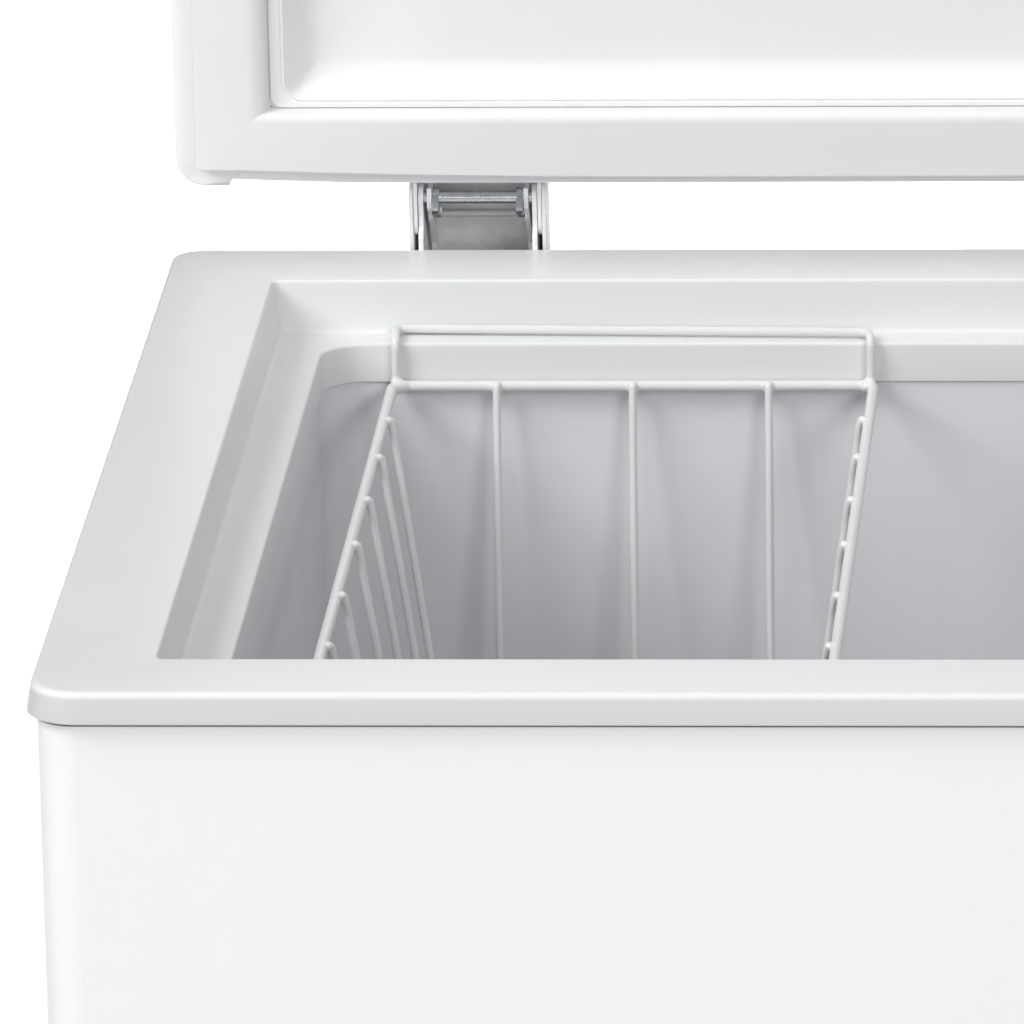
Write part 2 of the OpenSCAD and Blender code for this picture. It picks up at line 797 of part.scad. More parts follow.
// Galvanised channel bolted to the rear, with ears for the pivot pin and a
// seat for the spring.
module hinge_base(cx) color(steel) placed()
    translate([cx, 0, 0])
        difference() {
            union() {
                for (s = [0, 1])
                    mirror([s, 0, 0])
                        side_plate(base_in, base_out) {
                            polygon([[rear_y, base_bottom], [web_y, base_bottom],
                                     [web_y, collar_z + 4.5], [pivot_y + 3.9, pivot_z + 3.9],
                                     [pivot_y, pivot_z], [pivot_y - ear_r, pivot_z],
                                     [pivot_y - ear_r, collar_z + 8], [rear_y + 0.4, collar_z + 4],
                                     [rear_y + 0.4, collar_z], [rear_y, collar_z]]);
                            translate([pivot_y, pivot_z])
                                circle(ear_r);
                        }
                block(-base_out, base_out, web_y - cheek_t, web_y, base_bottom, collar_z + 4.5);
                // curled top edge of the web
                rod([-base_in - 1, web_y - 1.3, collar_z + 4.2],
                    [base_in + 1, web_y - 1.3, collar_z + 4.2], 1.3);
                // ears on the cabinet
                for (s = [0, 1])
                    mirror([s, 0, 0])
                        block(base_in + 0.5, 44, rear_y, rear_y + cheek_t, collar_z - 132,
                              collar_z - 16);
                // shelf that the spring stands on
                block(-base_in - 0.5, base_in + 0.5, rear_y + 2, web_y - 1, seat_z - seat_t,
                      seat_z);
            }
            translate([-50, pivot_y, pivot_z])
                rotate([0, 90, 0])
                    cylinder(h = 100, r = pin_r + 0.05);
            translate([0, spring_y, seat_z - 10])
                cylinder(h = 20, r = 4.3);
            for (x = [-flange_x, flange_x], z = hinge_screw_z)
                translate([x, rear_y - 5, z])
                    rotate([-90, 0, 0])
                        cylinder(h = 10, r = 2.2);
        }

// White cover over the channel.
module hinge_cover(cx) color(white) placed()
    translate([cx, 0, 0]) {
        for (s = [0, 1])
            mirror([s, 0, 0])
                side_plate(cover_in, cover_out) {
                    polygon([[rear_y + 2.2, base_bottom - 6], [web_y + 3.6, base_bottom - 6],
                             [web_y + 3.6, cover_top], [pivot_y + 20, pivot_z + 7.2],
                             [pivot_y, pivot_z + 7.2], [pivot_y, pivot_z],
                             [pivot_y - 7.2, pivot_z], [pivot_y - 7.2, collar_z - 10],
                             [rear_y + 2.2, collar_z - 10]]);
                    translate([pivot_y, pivot_z])
                        circle(7.2);
                }
        block(-cover_out, cover_out, web_y + 2, web_y + 3.6, base_bottom - 6, cover_top);
        // pads that hold the cover off the channel
        for (z = [collar_z - 120, collar_z - 20])
            block(-8, 8, web_y, web_y + 2 + eps, z, z + 10);
    }

module hinge_base_left() hinge_base(-hinge_x);
module hinge_base_right() hinge_base(hinge_x);
module hinge_cover_left() hinge_cover(-hinge_x);
module hinge_cover_right() hinge_cover(hinge_x);

module hinge_screws() color(steel) placed()
    hinge_screw_places() {
        translate([0, 0, cheek_t])
            cylinder(h = 2.4, r = 4.2);
        translate([0, 0, -12])
            cylinder(h = 12 + cheek_t + eps, r = 2.1);
    }

// Angle plate on the lid's rear edge, drawn open, with two ears on the pin.
module hinge_arm(cx) color(white) placed()
    translate([cx, 0, 0])
        difference() {
            union() {
                block(-arm_out, arm_out, pivot_y, pivot_y + arm_len, pivot_z + lid_lift - arm_t,
                      pivot_z + lid_lift);
                for (s = [0, 1])
                    mirror([s, 0, 0])
                        side_plate(arm_in, arm_out) {
                            polygon([[pivot_y - arm_ear_r, pivot_z + lid_lift - 0.2],
                                     [pivot_y + 25, pivot_z + lid_lift - 0.2],
                                     [pivot_y + 25, pivot_z + 4], [pivot_y + arm_ear_r, pivot_z - 5],
                                     [pivot_y + arm_ear_r, pivot_z - 8],
                                     [pivot_y - arm_ear_r, pivot_z - 8]]);
                            translate([pivot_y, pivot_z - 8])
                                circle(arm_ear_r);
                        }
            }
            translate([-50, pivot_y, pivot_z])
                rotate([0, 90, 0])
                    cylinder(h = 100, r = pin_r);
            for (x = arm_screw_x, y = arm_screw_y)
                translate([x, pivot_y + y, pivot_z])
                    cylinder(h = 20, r = 2.2);
        }

module hinge_arm_left() hinge_arm(-hinge_x);
module hinge_arm_right() hinge_arm(hinge_x);

// Places of the screws through the arms into the lid's rear edge.
module arm_screw_places()
    for (s = [-1, 1], x = arm_screw_x, y = arm_screw_y)
        translate([s * hinge_x + x, pivot_y + y, pivot_z + lid_lift - arm_t])
            children();

module arm_screws() color(steel) placed()
    arm_screw_places() {
        translate([0, 0, -1.6])
            cylinder(h = 1.6, r = 3.6);
        cylinder(h = 12, r = 2.1);
    }

module pivot_pin(cx) color([0.8, 0.8, 0.82]) placed()
    translate([cx - arm_out, pivot_y, pivot_z])
        rotate([0, 90, 0])
            cylinder(h = 2 * arm_out, r = pin_r);

module pivot_pin_left() pivot_pin(-hinge_x);
module pivot_pin_right() pivot_pin(hinge_x);

// The cam moves the roller straight down in step with the lid's turn a, so
// its face is the roller's path seen from the turning lid, set in by the
// roller's radius.
function turned(v, a) = [v.x * cos(a) - v.y * sin(a), v.x * sin(a) + v.y * cos(a)];
rate = plunger_travel / (PI / 2);
function drop_at(a) = roller_drop + plunger_travel * a / 90;
function cam_normal(a) =
    let (n = [rate + roller_dy, -drop_at(a)]) n / norm(n);
function cam_point(a) =
    turned([roller_dy, -drop_at(a)] - (roller_r + cam_gap) * cam_normal(a), -a);
cam_outline = [for (a = [-4 : 2 : 94]) cam_point(a)];

module cams(cx) color([0.78, 0.79, 0.8]) placed()
    translate([cx, 0, 0])
        for (s = [0, 1])
            mirror([s, 0, 0])
                difference() {
                    side_plate(cam_in, cam_out)
                        translate([pivot_y, pivot_z]) {
                            polygon(concat(cam_outline, [[0, 3.6]]));
                            circle(cam_hub - cam_gap);
                        }
                    translate([0, pivot_y, pivot_z])
                        rotate([0, 90, 0])
                            cylinder(h = 50, r = pin_r);
                }

module cams_left() cams(-hinge_x);
module cams_right() cams(hinge_x);

// Fork that rides round the pin and carries the rollers down on the spring.
module plunger(cx) color(steel) placed()
    translate([cx, 0, 0]) {
        for (s = [0, 1])
            mirror([s, 0, 0]) {
                side_plate(fork_in, fork_out)
                    difference() {
                        union() {
                            translate([pivot_y + roller_dy, pivot_z - roller_drop])
                                circle(5);
                            polygon([[pivot_y - 5, pivot_z + 4.7], [pivot_y + 5, pivot_z + 4.7],
                                     [web_y - 5, collar_z + 1], [web_y - 5, head_z],
                                     [web_y - 13, head_z], [web_y - 13, collar_z - 4],
                                     [pivot_y + roller_dy, pivot_z - roller_drop - 5],
                                     [pivot_y - 5, pivot_z - 3]]);
                        }
                        // open slot round the pin
                        translate([pivot_y, pivot_z])
                            circle(pin_r + 0.4);
                        translate([pivot_y - pin_r - 0.4, pivot_z])
                            square([2 * pin_r + 0.8, 20]);
                    }
                // stub that carries the roller
                translate([cam_in - 0.4, pivot_y + roller_dy, pivot_z - roller_drop])
                    rotate([0, 90, 0])
                        cylinder(h = fork_in - cam_in + 1, r = 1.5);
            }
        block(-fork_out, fork_out, spring_y - 12, web_y - 5, head_z - head_t, head_z);
        translate([0, spring_y, collar_z - 150])
            cylinder(h = head_z - collar_z + 149, r = 4);
    }

module plunger_left() plunger(-hinge_x);
module plunger_right() plunger(hinge_x);

module rollers(cx) color([0.85, 0.85, 0.87]) placed()
    translate([cx, pivot_y + roller_dy, pivot_z - roller_drop])
        for (s = [0, 1])
            mirror([s, 0, 0])
                translate([cam_in, 0, 0])
                    rotate([0, 90, 0])
                        difference() {
                            cylinder(h = cam_out - cam_in, r = roller_r);
                            translate([0, 0, -1])
                                cylinder(h = 10, r = 1.5);
                        }

module rollers_left() rollers(-hinge_x);
module rollers_right() rollers(hinge_x);

// Coil spring swept along its helix, drawn with the lid open.
spring_turns = 8;
spring_rings = 12;
spring_sides = 6;
spring_wire = 1.4;
spring_mean = 9.5;
spring_z0 = seat_z + spring_wire + 0.3;
spring_len = head_z - head_t - seat_z - 2 * spring_wire - 0.6;
spring_count = spring_turns * spring_rings;
helix = [
    for (i = [0 : spring_count])
        let (a = 360 * i / spring_rings)
            [spring_mean * cos(a), spring_mean * sin(a), spring_z0 + spring_len * i / spring_count]
];

module spring(cx) color([0.5, 0.5, 0.52]) placed()
    translate([cx, spring_y, 0])
        sweep(helix, spring_wire, spring_sides, [0, 0, 1]);

module spring_left() spring(-hinge_x);
module spring_right() spring(hinge_x);

// ---- lid, drawn closed and opened -----------------------------------------
lid_front_r = 18;
lid_rear_r = 11;
return_w = 12;
seal_x = 463.6;
seal_y = 260.6;
panel_t = 2;
border_h = 3;
border_x = seal_x - gasket_side - 0.4;
border_y = seal_y - gasket_end - 0.4;
dish_x = border_x - 5;
dish_y = border_y - 2.6;
dish_wall = 8;
toe_w = 20.6;
toe_h = 0.8;
handle_w = 170;

module lid_screw_holes()
    for (s = [-1, 1], x = arm_screw_x, z = arm_screw_y)
        translate([s * hinge_x + x, lid_rear + 1, pivot_z + z])
            rotate([90, 0, 0])
                children();

module handle_screw_places()
    for (x = [-60, 60])
        translate([x, lid_front, lid_under + lid_t / 2])
            rotate([90, 0, 0])
                children();

// Painted steel pan of the lid with a return flange and two toes at its
// rear corners.
module lid_shell() color(white) placed() opened()
    difference() {
        union() {
            slab(-lid_w / 2, lid_w / 2, lid_front, lid_rear, lid_under, lid_top, lid_front_r,
                 lid_rear_r);
            intersection() {
                slab(-lid_w / 2, lid_w / 2, lid_front, lid_rear + toe_h, lid_under,
                     lid_under + 8, lid_front_r, lid_rear_r);
                for (s = [0, 1])
                    mirror([s, 0, 0])
                        block(lid_w / 2 - toe_w, lid_w / 2, lid_rear - 20, lid_rear + 5,
                              lid_under - 1, lid_under + 9);
            }
        }
        slab(-lid_w / 2 + lid_skin, lid_w / 2 - lid_skin, lid_front + lid_skin,
             lid_rear - lid_skin, lid_under + lid_skin, lid_top - lid_skin, lid_front_r - 1,
             lid_rear_r - 1);
        slab(-lid_w / 2 + return_w, lid_w / 2 - return_w, lid_front + return_w,
             lid_rear - return_w, lid_under - 1, lid_under + 2, 7, 4);
        lid_screw_holes()
            cylinder(h = 4, r = 2.2);
        handle_screw_places()
            cylinder(h = 6, r = 2.2, center = true);
    }

module dish(grow)
    hull() {
        slab(-dish_x - grow, dish_x + grow, -dish_y - grow, dish_y + grow,
             lid_under - border_h, lid_under - border_h + eps, 7 + grow, 7 + grow, $fn = 24);
        slab(-dish_x + dish_wall - grow, dish_x - dish_wall + grow, -dish_y + dish_wall - grow,
             dish_y - dish_wall + grow, lid_under + dish_h + grow, lid_under + dish_h + grow + eps,
             5 + grow, 5 + grow, $fn = 24);
    }

// Formed plastic panel on the lid's underside: a flange under the gasket, a
// raised border inside it and a shallow dish.
module lid_inner_panel() color(white) placed() opened()
    difference() {
        union() {
            slab(-seal_x, seal_x, -seal_y, seal_y, lid_under + lid_skin,
                 lid_under + lid_skin + panel_t, 20, 8);
            slab(-border_x, border_x, -border_y, border_y, lid_under - border_h,
                 lid_under + lid_skin + 1, 8, 8);
            dish(panel_t);
        }
        translate([0, 0, -eps])
            dish(0);
    }

module lid_foam() color([0.93, 0.86, 0.6]) placed() opened()
    difference() {
        slab(-lid_w / 2 + lid_skin, lid_w / 2 - lid_skin, lid_front + lid_skin,
             lid_rear - lid_skin, lid_under + lid_skin + panel_t, lid_top - lid_skin,
             lid_front_r - 1, lid_rear_r - 1);
        dish(panel_t + 0.01);
        translate([0, 2, 0])
            lid_screw_holes()
                cylinder(h = 16, r = 2.6);
        handle_screw_places()
            translate([0, 0, -14])
                cylinder(h = 20, r = 2.6);
    }

// Magnetic seal with a hollow bellows.
module lid_gasket() color([0.93, 0.93, 0.94]) placed() opened()
    difference() {
        slab(-seal_x, seal_x, -seal_y, seal_y, collar_z + 0.3, lid_under, 6, 6);
        slab(-seal_x + gasket_side, seal_x - gasket_side, -seal_y + gasket_end,
             seal_y - gasket_end, collar_z - 1, lid_under + 1, 2, 2);
        // hollow bellows
        difference() {
            slab(-seal_x + 5, seal_x - 5, -seal_y + 5, seal_y - 5, collar_z + 2.3,
                 lid_under - 3, 4, 4);
            slab(-seal_x + gasket_side - 6, seal_x - gasket_side + 6, -seal_y + gasket_end - 6,
                 seal_y - gasket_end + 6, collar_z, lid_under, 2, 2);
        }
    }

// Moulded grip on the lid's front edge, open underneath for the fingers.
module lid_handle() color(white) placed() opened()
    difference() {
        union() {
            block(-handle_w / 2, handle_w / 2, lid_front - 20, lid_front, lid_under + 8,
                  lid_under + 38);
            for (x = [-handle_w / 2, handle_w / 2])
                translate([x, lid_front, lid_under + 8])
                    intersection() {
                        cylinder(h = 30, r = 20);
                        translate([-20, -20, 0])
                            cube([40, 20, 30]);
                    }
        }
        block(-handle_w / 2, handle_w / 2, lid_front - 15, lid_front - 3, lid_under, lid_under + 32);
        handle_screw_places()
            cylinder(h = 12, r = 2.2, center = true);
    }

module handle_screws() color(steel) placed() opened()
    handle_screw_places() {
        translate([0, 0, 3])
            cylinder(h = 2, r = 3.8);
        translate([0, 0, -12])
            cylinder(h = 15 + eps, r = 2.1);
    }

// ---- basket ---------------------------------------------------------------
rim_z = seam_z - 0.5;
rim_y = throat_y - 3;
bar_z = ledge_z + rim_d / 2 + 0.3;
bar_y = throat_y + 9;
bar_skew = 3;
lean = tan(basket_lean);
floor_z = rim_z - basket_h;
side_wire_y = [160, 114, 62, 9, -50, -107, -163];
rear_pitch = 51;
half_w = basket_w / 2;
left_x = basket_x - half_w;
right_x = basket_x + half_w;

// Rim of the basket with a hanger loop over each ledge.
module basket_rim() color(white) placed() {
    r = rim_d / 2;
    tube_loop(left_x, right_x, -rim_y, rim_y, rim_z, 5, r);
    for (s = [-1, 1])
        wire([[left_x + 1.5, s * rim_y, rim_z], [left_x + 1.5, s * rim_y, bar_z],
              [left_x + 0.5, s * (bar_y + bar_skew), bar_z],
              [right_x - 2, s * (bar_y - bar_skew), bar_z],
              [right_x - 1, s * rim_y, bar_z], [right_x - 1, s * rim_y, rim_z]],
             r - 0.2);
}

wire_r = wire_d / 2;
// the uprights are welded to the inner side of the rim
top_in = rim_d / 2 + wire_r - 0.3;
lean_in = top_in + lean * basket_h;
wire_top = rim_z + 1;
long_floor_z = floor_z - 2 * wire_r + 0.2;
hoop_drop = basket_h * 0.62;

wire_bend = 8;
wire_sides = 8;

// Wires bent down the left side, across the floor and up the right side.
module basket_cross_wires() color(white) placed()
    for (y = side_wire_y) {
        fy = y * (rim_y - lean_in) / rim_y;
        sweep(rounded([[left_x + top_in, y, wire_top], [left_x + lean_in, fy, floor_z],
                       [right_x - lean_in, fy, floor_z], [right_x - top_in, y, wire_top]],
                      wire_bend), wire_r, wire_sides, [0, 1, 0]);
    }

// Wires bent down the front, under the floor and up the rear.
module basket_long_wires() color(white) placed()
    for (i = [-1 : 1]) {
        x = basket_x + i * rear_pitch;
        sweep(rounded([[x, -rim_y + top_in, wire_top], [x, -rim_y + lean_in, long_floor_z],
                       [x, rim_y - lean_in, long_floor_z], [x, rim_y - top_in, wire_top]],
                      wire_bend), wire_r, wire_sides, [1, 0, 0]);
    }

// Hoop part way down, outside the upright wires, that ties them.
module basket_hoop() color(white) placed() {
    in = top_in + lean * hoop_drop - 2 * wire_r + 0.4;
    z = rim_z - hoop_drop;
    for (x = [left_x + in, right_x - in])
        rod([x, -rim_y + in - 1, z], [x, rim_y - in + 1, z], wire_r);
    for (y = [-rim_y + in, rim_y - in])
        rod([left_x + in - 1, y, z + 2 * wire_r - 0.3], [right_x - in + 1, y, z + 2 * wire_r - 0.3],
            wire_r);
}

cabinet_shell();
rear_panel();
base_pan();
top_collar();
inner_liner();
foam_insulation();
evaporator_coil();
condenser_coil();
compressor_bay();
compressor_plate();
compressor();
compressor_grommets();
compressor_bolts();
start_relay();
filter_drier();
refrigerant_pipes();
vent_grille();
bay_cover();
panel_screws();
cord_gland();
control_bezel();
power_lamp();
run_lamp();
thermostat_body();
thermostat_knob();
drain_tube();
drain_plug();
drain_cap();
feet();
foot_screws();
hinge_base_left();
hinge_base_right();
hinge_cover_left();
hinge_cover_right();
hinge_screws();
plunger_left();
plunger_right();
rollers_left();
rollers_right();
spring_left();
spring_right();
lid_shell();
lid_inner_panel();
lid_foam();
lid_gasket();
lid_handle();
handle_screws();
hinge_arm_left();
hinge_arm_right();
arm_screws();
pivot_pin_left();
pivot_pin_right();
cams_left();
cams_right();
basket_rim();
basket_cross_wires();
basket_long_wires();
basket_hoop();
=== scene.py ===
"""Looks of a chest freezer with its lid open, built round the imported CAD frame."""
import json
import math

import bmesh
import bpy
import numpy as np
from mathutils import Matrix, Vector

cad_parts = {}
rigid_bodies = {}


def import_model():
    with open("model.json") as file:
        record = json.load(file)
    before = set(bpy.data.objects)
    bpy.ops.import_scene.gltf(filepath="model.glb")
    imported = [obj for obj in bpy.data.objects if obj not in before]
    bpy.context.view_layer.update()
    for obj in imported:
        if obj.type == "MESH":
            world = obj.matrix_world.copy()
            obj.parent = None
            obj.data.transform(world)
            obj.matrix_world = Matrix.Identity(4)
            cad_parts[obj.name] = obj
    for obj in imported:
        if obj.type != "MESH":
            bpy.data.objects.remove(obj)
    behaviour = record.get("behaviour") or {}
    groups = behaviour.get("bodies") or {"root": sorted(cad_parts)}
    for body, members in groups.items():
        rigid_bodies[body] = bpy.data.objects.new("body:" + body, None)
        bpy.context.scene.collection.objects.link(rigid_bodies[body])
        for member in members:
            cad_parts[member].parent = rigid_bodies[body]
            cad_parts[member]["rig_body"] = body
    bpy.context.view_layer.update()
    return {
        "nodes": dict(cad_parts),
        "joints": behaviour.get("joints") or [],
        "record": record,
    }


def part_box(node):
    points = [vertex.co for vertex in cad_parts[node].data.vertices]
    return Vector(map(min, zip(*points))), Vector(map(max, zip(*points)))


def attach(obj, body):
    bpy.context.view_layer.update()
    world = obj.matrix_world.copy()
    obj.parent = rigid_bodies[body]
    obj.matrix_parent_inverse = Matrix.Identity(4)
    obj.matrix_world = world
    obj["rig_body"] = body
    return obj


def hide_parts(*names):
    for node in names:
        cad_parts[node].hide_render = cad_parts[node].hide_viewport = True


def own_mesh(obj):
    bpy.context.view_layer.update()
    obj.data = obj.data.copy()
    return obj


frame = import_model()
NODES = frame["nodes"]
MM = 0.001


# ---- places taken from the frame, in millimetres ---------------------------
def box_mm(node):
    low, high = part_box(node)
    return np.array(low) / MM, np.array(high) / MM


collar_low, collar_high = box_mm("top_collar")
TOP = collar_high[2]
LIP_FLARE = 2.0
FRONT, REAR = collar_low[1] + LIP_FLARE, collar_high[1]
MID_Y = (FRONT + REAR) / 2
SIDE = collar_high[0] - LIP_FLARE
SEAM = collar_low[2]
JOINTS = {joint["name"]: joint for joint in frame["joints"]}
PIVOT = np.array(JOINTS["lid_hinge"]["pos_m"]) / MM


# ---- camera ----------------------------------------------------------------
PITCH, YAW, ROLL = 17.599, -4.419, -1.358
FOCAL_LENGTH, SENSOR = 437.6, 36.0
EYE = Vector((0.9, MID_Y - 4241.3, TOP + 1329.2)) * MM


def make_camera():
    """Looks down over the front edge at the left half, from well back with a long lens."""
    pitch, yaw, roll = map(math.radians, (PITCH, YAW, ROLL))
    forward = Vector((math.sin(yaw) * math.cos(pitch), math.cos(yaw) * math.cos(pitch),
                      -math.sin(pitch)))
    level_right = Vector((math.cos(yaw), -math.sin(yaw), 0))
    level_up = level_right.cross(forward)
    right = math.cos(roll) * level_right + math.sin(roll) * level_up
    up = right.cross(forward)
    data = bpy.data.cameras.new("camera")
    data.lens = FOCAL_LENGTH
    data.sensor_width = SENSOR
    data.clip_start, data.clip_end = 0.1, 100.0
    camera = bpy.data.objects.new("camera", data)
    turn = Matrix((right, up, -forward)).transposed().to_4x4()
    camera.matrix_world = Matrix.Translation(EYE) @ turn
    bpy.context.scene.collection.objects.link(camera)
    bpy.context.scene.camera = camera


make_camera()


# ---- materials -------------------------------------------------------------
class Shader:
    """A node material built from a Principled shader and a few procedural layers."""

    def __init__(self, name, colour, rough, **sockets):
        self.material = bpy.data.materials.new(name)
        self.material.use_nodes = True
        self.tree = self.material.node_tree
        self.bsdf = self.tree.nodes["Principled BSDF"]
        self.bsdf.inputs["Base Color"].default_value = (*colour, 1)
        self.bsdf.inputs["Roughness"].default_value = rough
        for socket, value in sockets.items():
            self.bsdf.inputs[socket.replace("_", " ")].default_value = value
        self.colour = colour
        self.height = None
        self.coords = self.node("ShaderNodeTexCoord").outputs["Object"]

    def node(self, kind, **inputs):
        made = self.tree.nodes.new(kind)
        for name, value in inputs.items():
            socket = made.inputs[name.replace("_", " ")]
            if hasattr(value, "is_linked"):
                self.tree.links.new(value, socket)
            else:
                socket.default_value = value
        return made

    def stretched(self, scale):
        made = self.node("ShaderNodeMapping", Vector=self.coords)
        made.inputs["Scale"].default_value = scale
        return made.outputs["Vector"]

    def noise(self, scale, detail=2.0, stretch=(1, 1, 1)):
        made = self.node("ShaderNodeTexNoise", Vector=self.stretched(stretch), Scale=scale,
                         Detail=detail)
        return made.outputs["Fac"]

    def cells(self, scale, stretch=(1, 1, 1)):
        made = self.node("ShaderNodeTexVoronoi", Vector=self.stretched(stretch), Scale=scale)
        return made.outputs["Color"]

    def remap(self, value, low, high):
        made = self.node("ShaderNodeMapRange", Value=value, To_Min=low, To_Max=high)
        return made.outputs["Result"]

    def within(self, value, start, end):
        """Rises from 0 to 1 while the value goes from start to end."""
        made = self.node("ShaderNodeMapRange", Value=value, From_Min=start, From_Max=end)
        return made.outputs["Result"]

    def maths(self, operation, *values):
        made = self.node("ShaderNodeMath")
        made.operation = operation
        for socket, value in zip(made.inputs, values):
            self.tree.links.new(value, socket)
        return made.outputs["Value"]

    def from_point(self, point):
        """Distances along X, Y and Z from a point."""
        made = self.node("ShaderNodeVectorMath")
        made.operation = "SUBTRACT"
        self.tree.links.new(self.coords, made.inputs[0])
        made.inputs[1].default_value = point
        return self.node("ShaderNodeSeparateXYZ", Vector=made.outputs["Vector"]).outputs

    def vary_colour(self, value, dark, light=1.0):
        """Scales the base colour between two brightnesses."""
        mix = self.node("ShaderNodeMix")
        mix.data_type = "RGBA"
        mix.inputs[6].default_value = (*(dark * c for c in self.colour), 1)
        mix.inputs[7].default_value = (*(min(1.0, light * c) for c in self.colour), 1)
        self.tree.links.new(value, mix.inputs[0])
        self.tree.links.new(mix.outputs[2], self.bsdf.inputs["Base Color"])
        return self

    def vary_rough(self, value, low, high):
        self.tree.links.new(self.remap(value, low, high), self.bsdf.inputs["Roughness"])
        return self

    def bump(self, value, strength, distance):
        made = self.node("ShaderNodeBump", Strength=strength, Distance=distance * MM,
                         Height=value)
        if self.height:
            self.tree.links.new(self.height, made.inputs["Normal"])
        self.height = made.outputs["Normal"]
        self.tree.links.new(self.height, self.bsdf.inputs["Normal"])
        return self


def painted_steel():
    m = Shader("painted_steel", (0.86, 0.865, 0.875), 0.32, Coat_Weight=0.35,
               Coat_Roughness=0.12)
    m.vary_colour(m.noise(3.0, 3.0), 0.985, 1.01)
    m.vary_rough(m.noise(14.0, 3.0), 0.27, 0.38)
    return m.bump(m.noise(420.0, 1.0), 0.10, 0.10).material


def moulded(name, colour, rough, grain=900.0, strength=0.08):
    """Injection-moulded plastic: fine spark-eroded grain and a slow change of gloss."""
    m = Shader(name, colour, rough, IOR=1.49, Specular_IOR_Level=0.5)
    m.vary_colour(m.noise(5.0, 3.0), 0.98, 1.01)
    m.vary_rough(m.noise(25.0, 2.0), rough - 0.05, rough + 0.07)
    return m.bump(m.noise(grain, 2.0), strength, 0.08).material


LIP_EDGE = 10.0
# painted shade on the collar: a mask offset that gives the inner walls a little of it, and the
# lip's darkening factor
INSIDE_PAINTED_SHADE = -0.2
LIP_PAINTED_SHADE = 0.78


def collar_plastic():
    """Moulded plastic with painted shade: the outside lip is darker than the top of the collar,
    and the walls inside the opening are slightly darker.
    """
    m = Shader("collar_plastic", (0.775, 0.785, 0.795), 0.32, IOR=1.49)
    middle, half = (collar_low + collar_high) / 2 * MM, (collar_high - collar_low) / 2 * MM
    away = m.from_point(middle)
    sides = []
    for axis, reach in zip("XY", half):
        edge = reach - LIP_EDGE * MM
        sides.append(m.within(m.maths("ABSOLUTE", away[axis]), edge, edge + MM))
    # painted shade: below the top fillet, the lip is darkened by the full lip factor and the
    # walls inside the opening by about a sixth of it
    outside = m.within(m.maths("MAXIMUM", *sides), INSIDE_PAINTED_SHADE, 1.0)
    below = m.within(away["Z"], half[2] - 1.4 * MM, half[2] - 2.7 * MM)
    m.vary_colour(m.maths("MULTIPLY", outside, below), 1.0, LIP_PAINTED_SHADE)
    m.vary_rough(m.noise(25.0, 2.0), 0.27, 0.39)
    return m.bump(m.noise(900.0, 2.0), 0.08, 0.08).material


def vacuum_formed(name, colour, rough):
    """Formed sheet: faint upright draw lines and a slightly wavy surface."""
    m = Shader(name, colour, rough, IOR=1.5)
    m.vary_colour(m.noise(22.0, 3.0, (1, 1, 0.12)), 0.95, 1.02)
    m.vary_rough(m.noise(30.0, 2.0, (1, 1, 0.3)), rough - 0.05, rough + 0.08)
    m.bump(m.noise(55.0, 2.0, (1, 1, 0.1)), 0.12, 0.25)
    return m.bump(m.noise(900.0, 1.0), 0.05, 0.05).material


def galvanised():
    m = Shader("galvanised", (0.88, 0.885, 0.895), 0.48, Metallic=0.15)
    m.vary_colour(m.cells(320.0), 0.93, 1.05)
    m.vary_rough(m.cells(320.0), 0.44, 0.58)
    return m.bump(m.noise(500.0, 2.0), 0.08, 0.05).material


def bright_metal(name, colour, rough, stretch=(1, 1, 1)):
    m = Shader(name, colour, rough, Metallic=1.0)
    m.vary_colour(m.noise(120.0, 3.0), 0.88, 1.05)
    m.vary_rough(m.noise(300.0, 2.0, stretch), rough - 0.08, rough + 0.12)
    return m.bump(m.noise(900.0, 2.0, stretch), 0.06, 0.04).material


def soft_rubber(name, colour, rough):
    m = Shader(name, colour, rough, IOR=1.5, Sheen_Weight=0.08)
    m.vary_colour(m.noise(12.0, 3.0), 0.97, 1.01)
    return m.bump(m.noise(700.0, 3.0), 0.12, 0.06).material


def coated_wire():
    m = Shader("coated_wire", (0.73, 0.732, 0.735), 0.28, Coat_Weight=0.25, Coat_Roughness=0.15)
    m.vary_colour(m.noise(60.0, 3.0), 0.96, 1.0)
    m.vary_rough(m.noise(200.0, 3.0), 0.22, 0.42)
    return m.bump(m.noise(260.0, 2.0), 0.25, 0.25).material


def rigid_foam():
    m = Shader("rigid_foam", (0.78, 0.66, 0.36), 0.85)
    m.vary_colour(m.noise(40.0, 4.0), 0.85, 1.05)
    return m.bump(m.cells(500.0), 0.3, 0.3).material


def lit_lens(name, colour):
    m = Shader(name, colour, 0.15, IOR=1.55, Coat_Weight=0.5)
    m.vary_colour(m.noise(300.0, 1.0), 0.85, 1.1)
    m.bsdf.inputs["Emission Color"].default_value = (*colour, 1)
    m.bsdf.inputs["Emission Strength"].default_value = 0.25
    return m.material


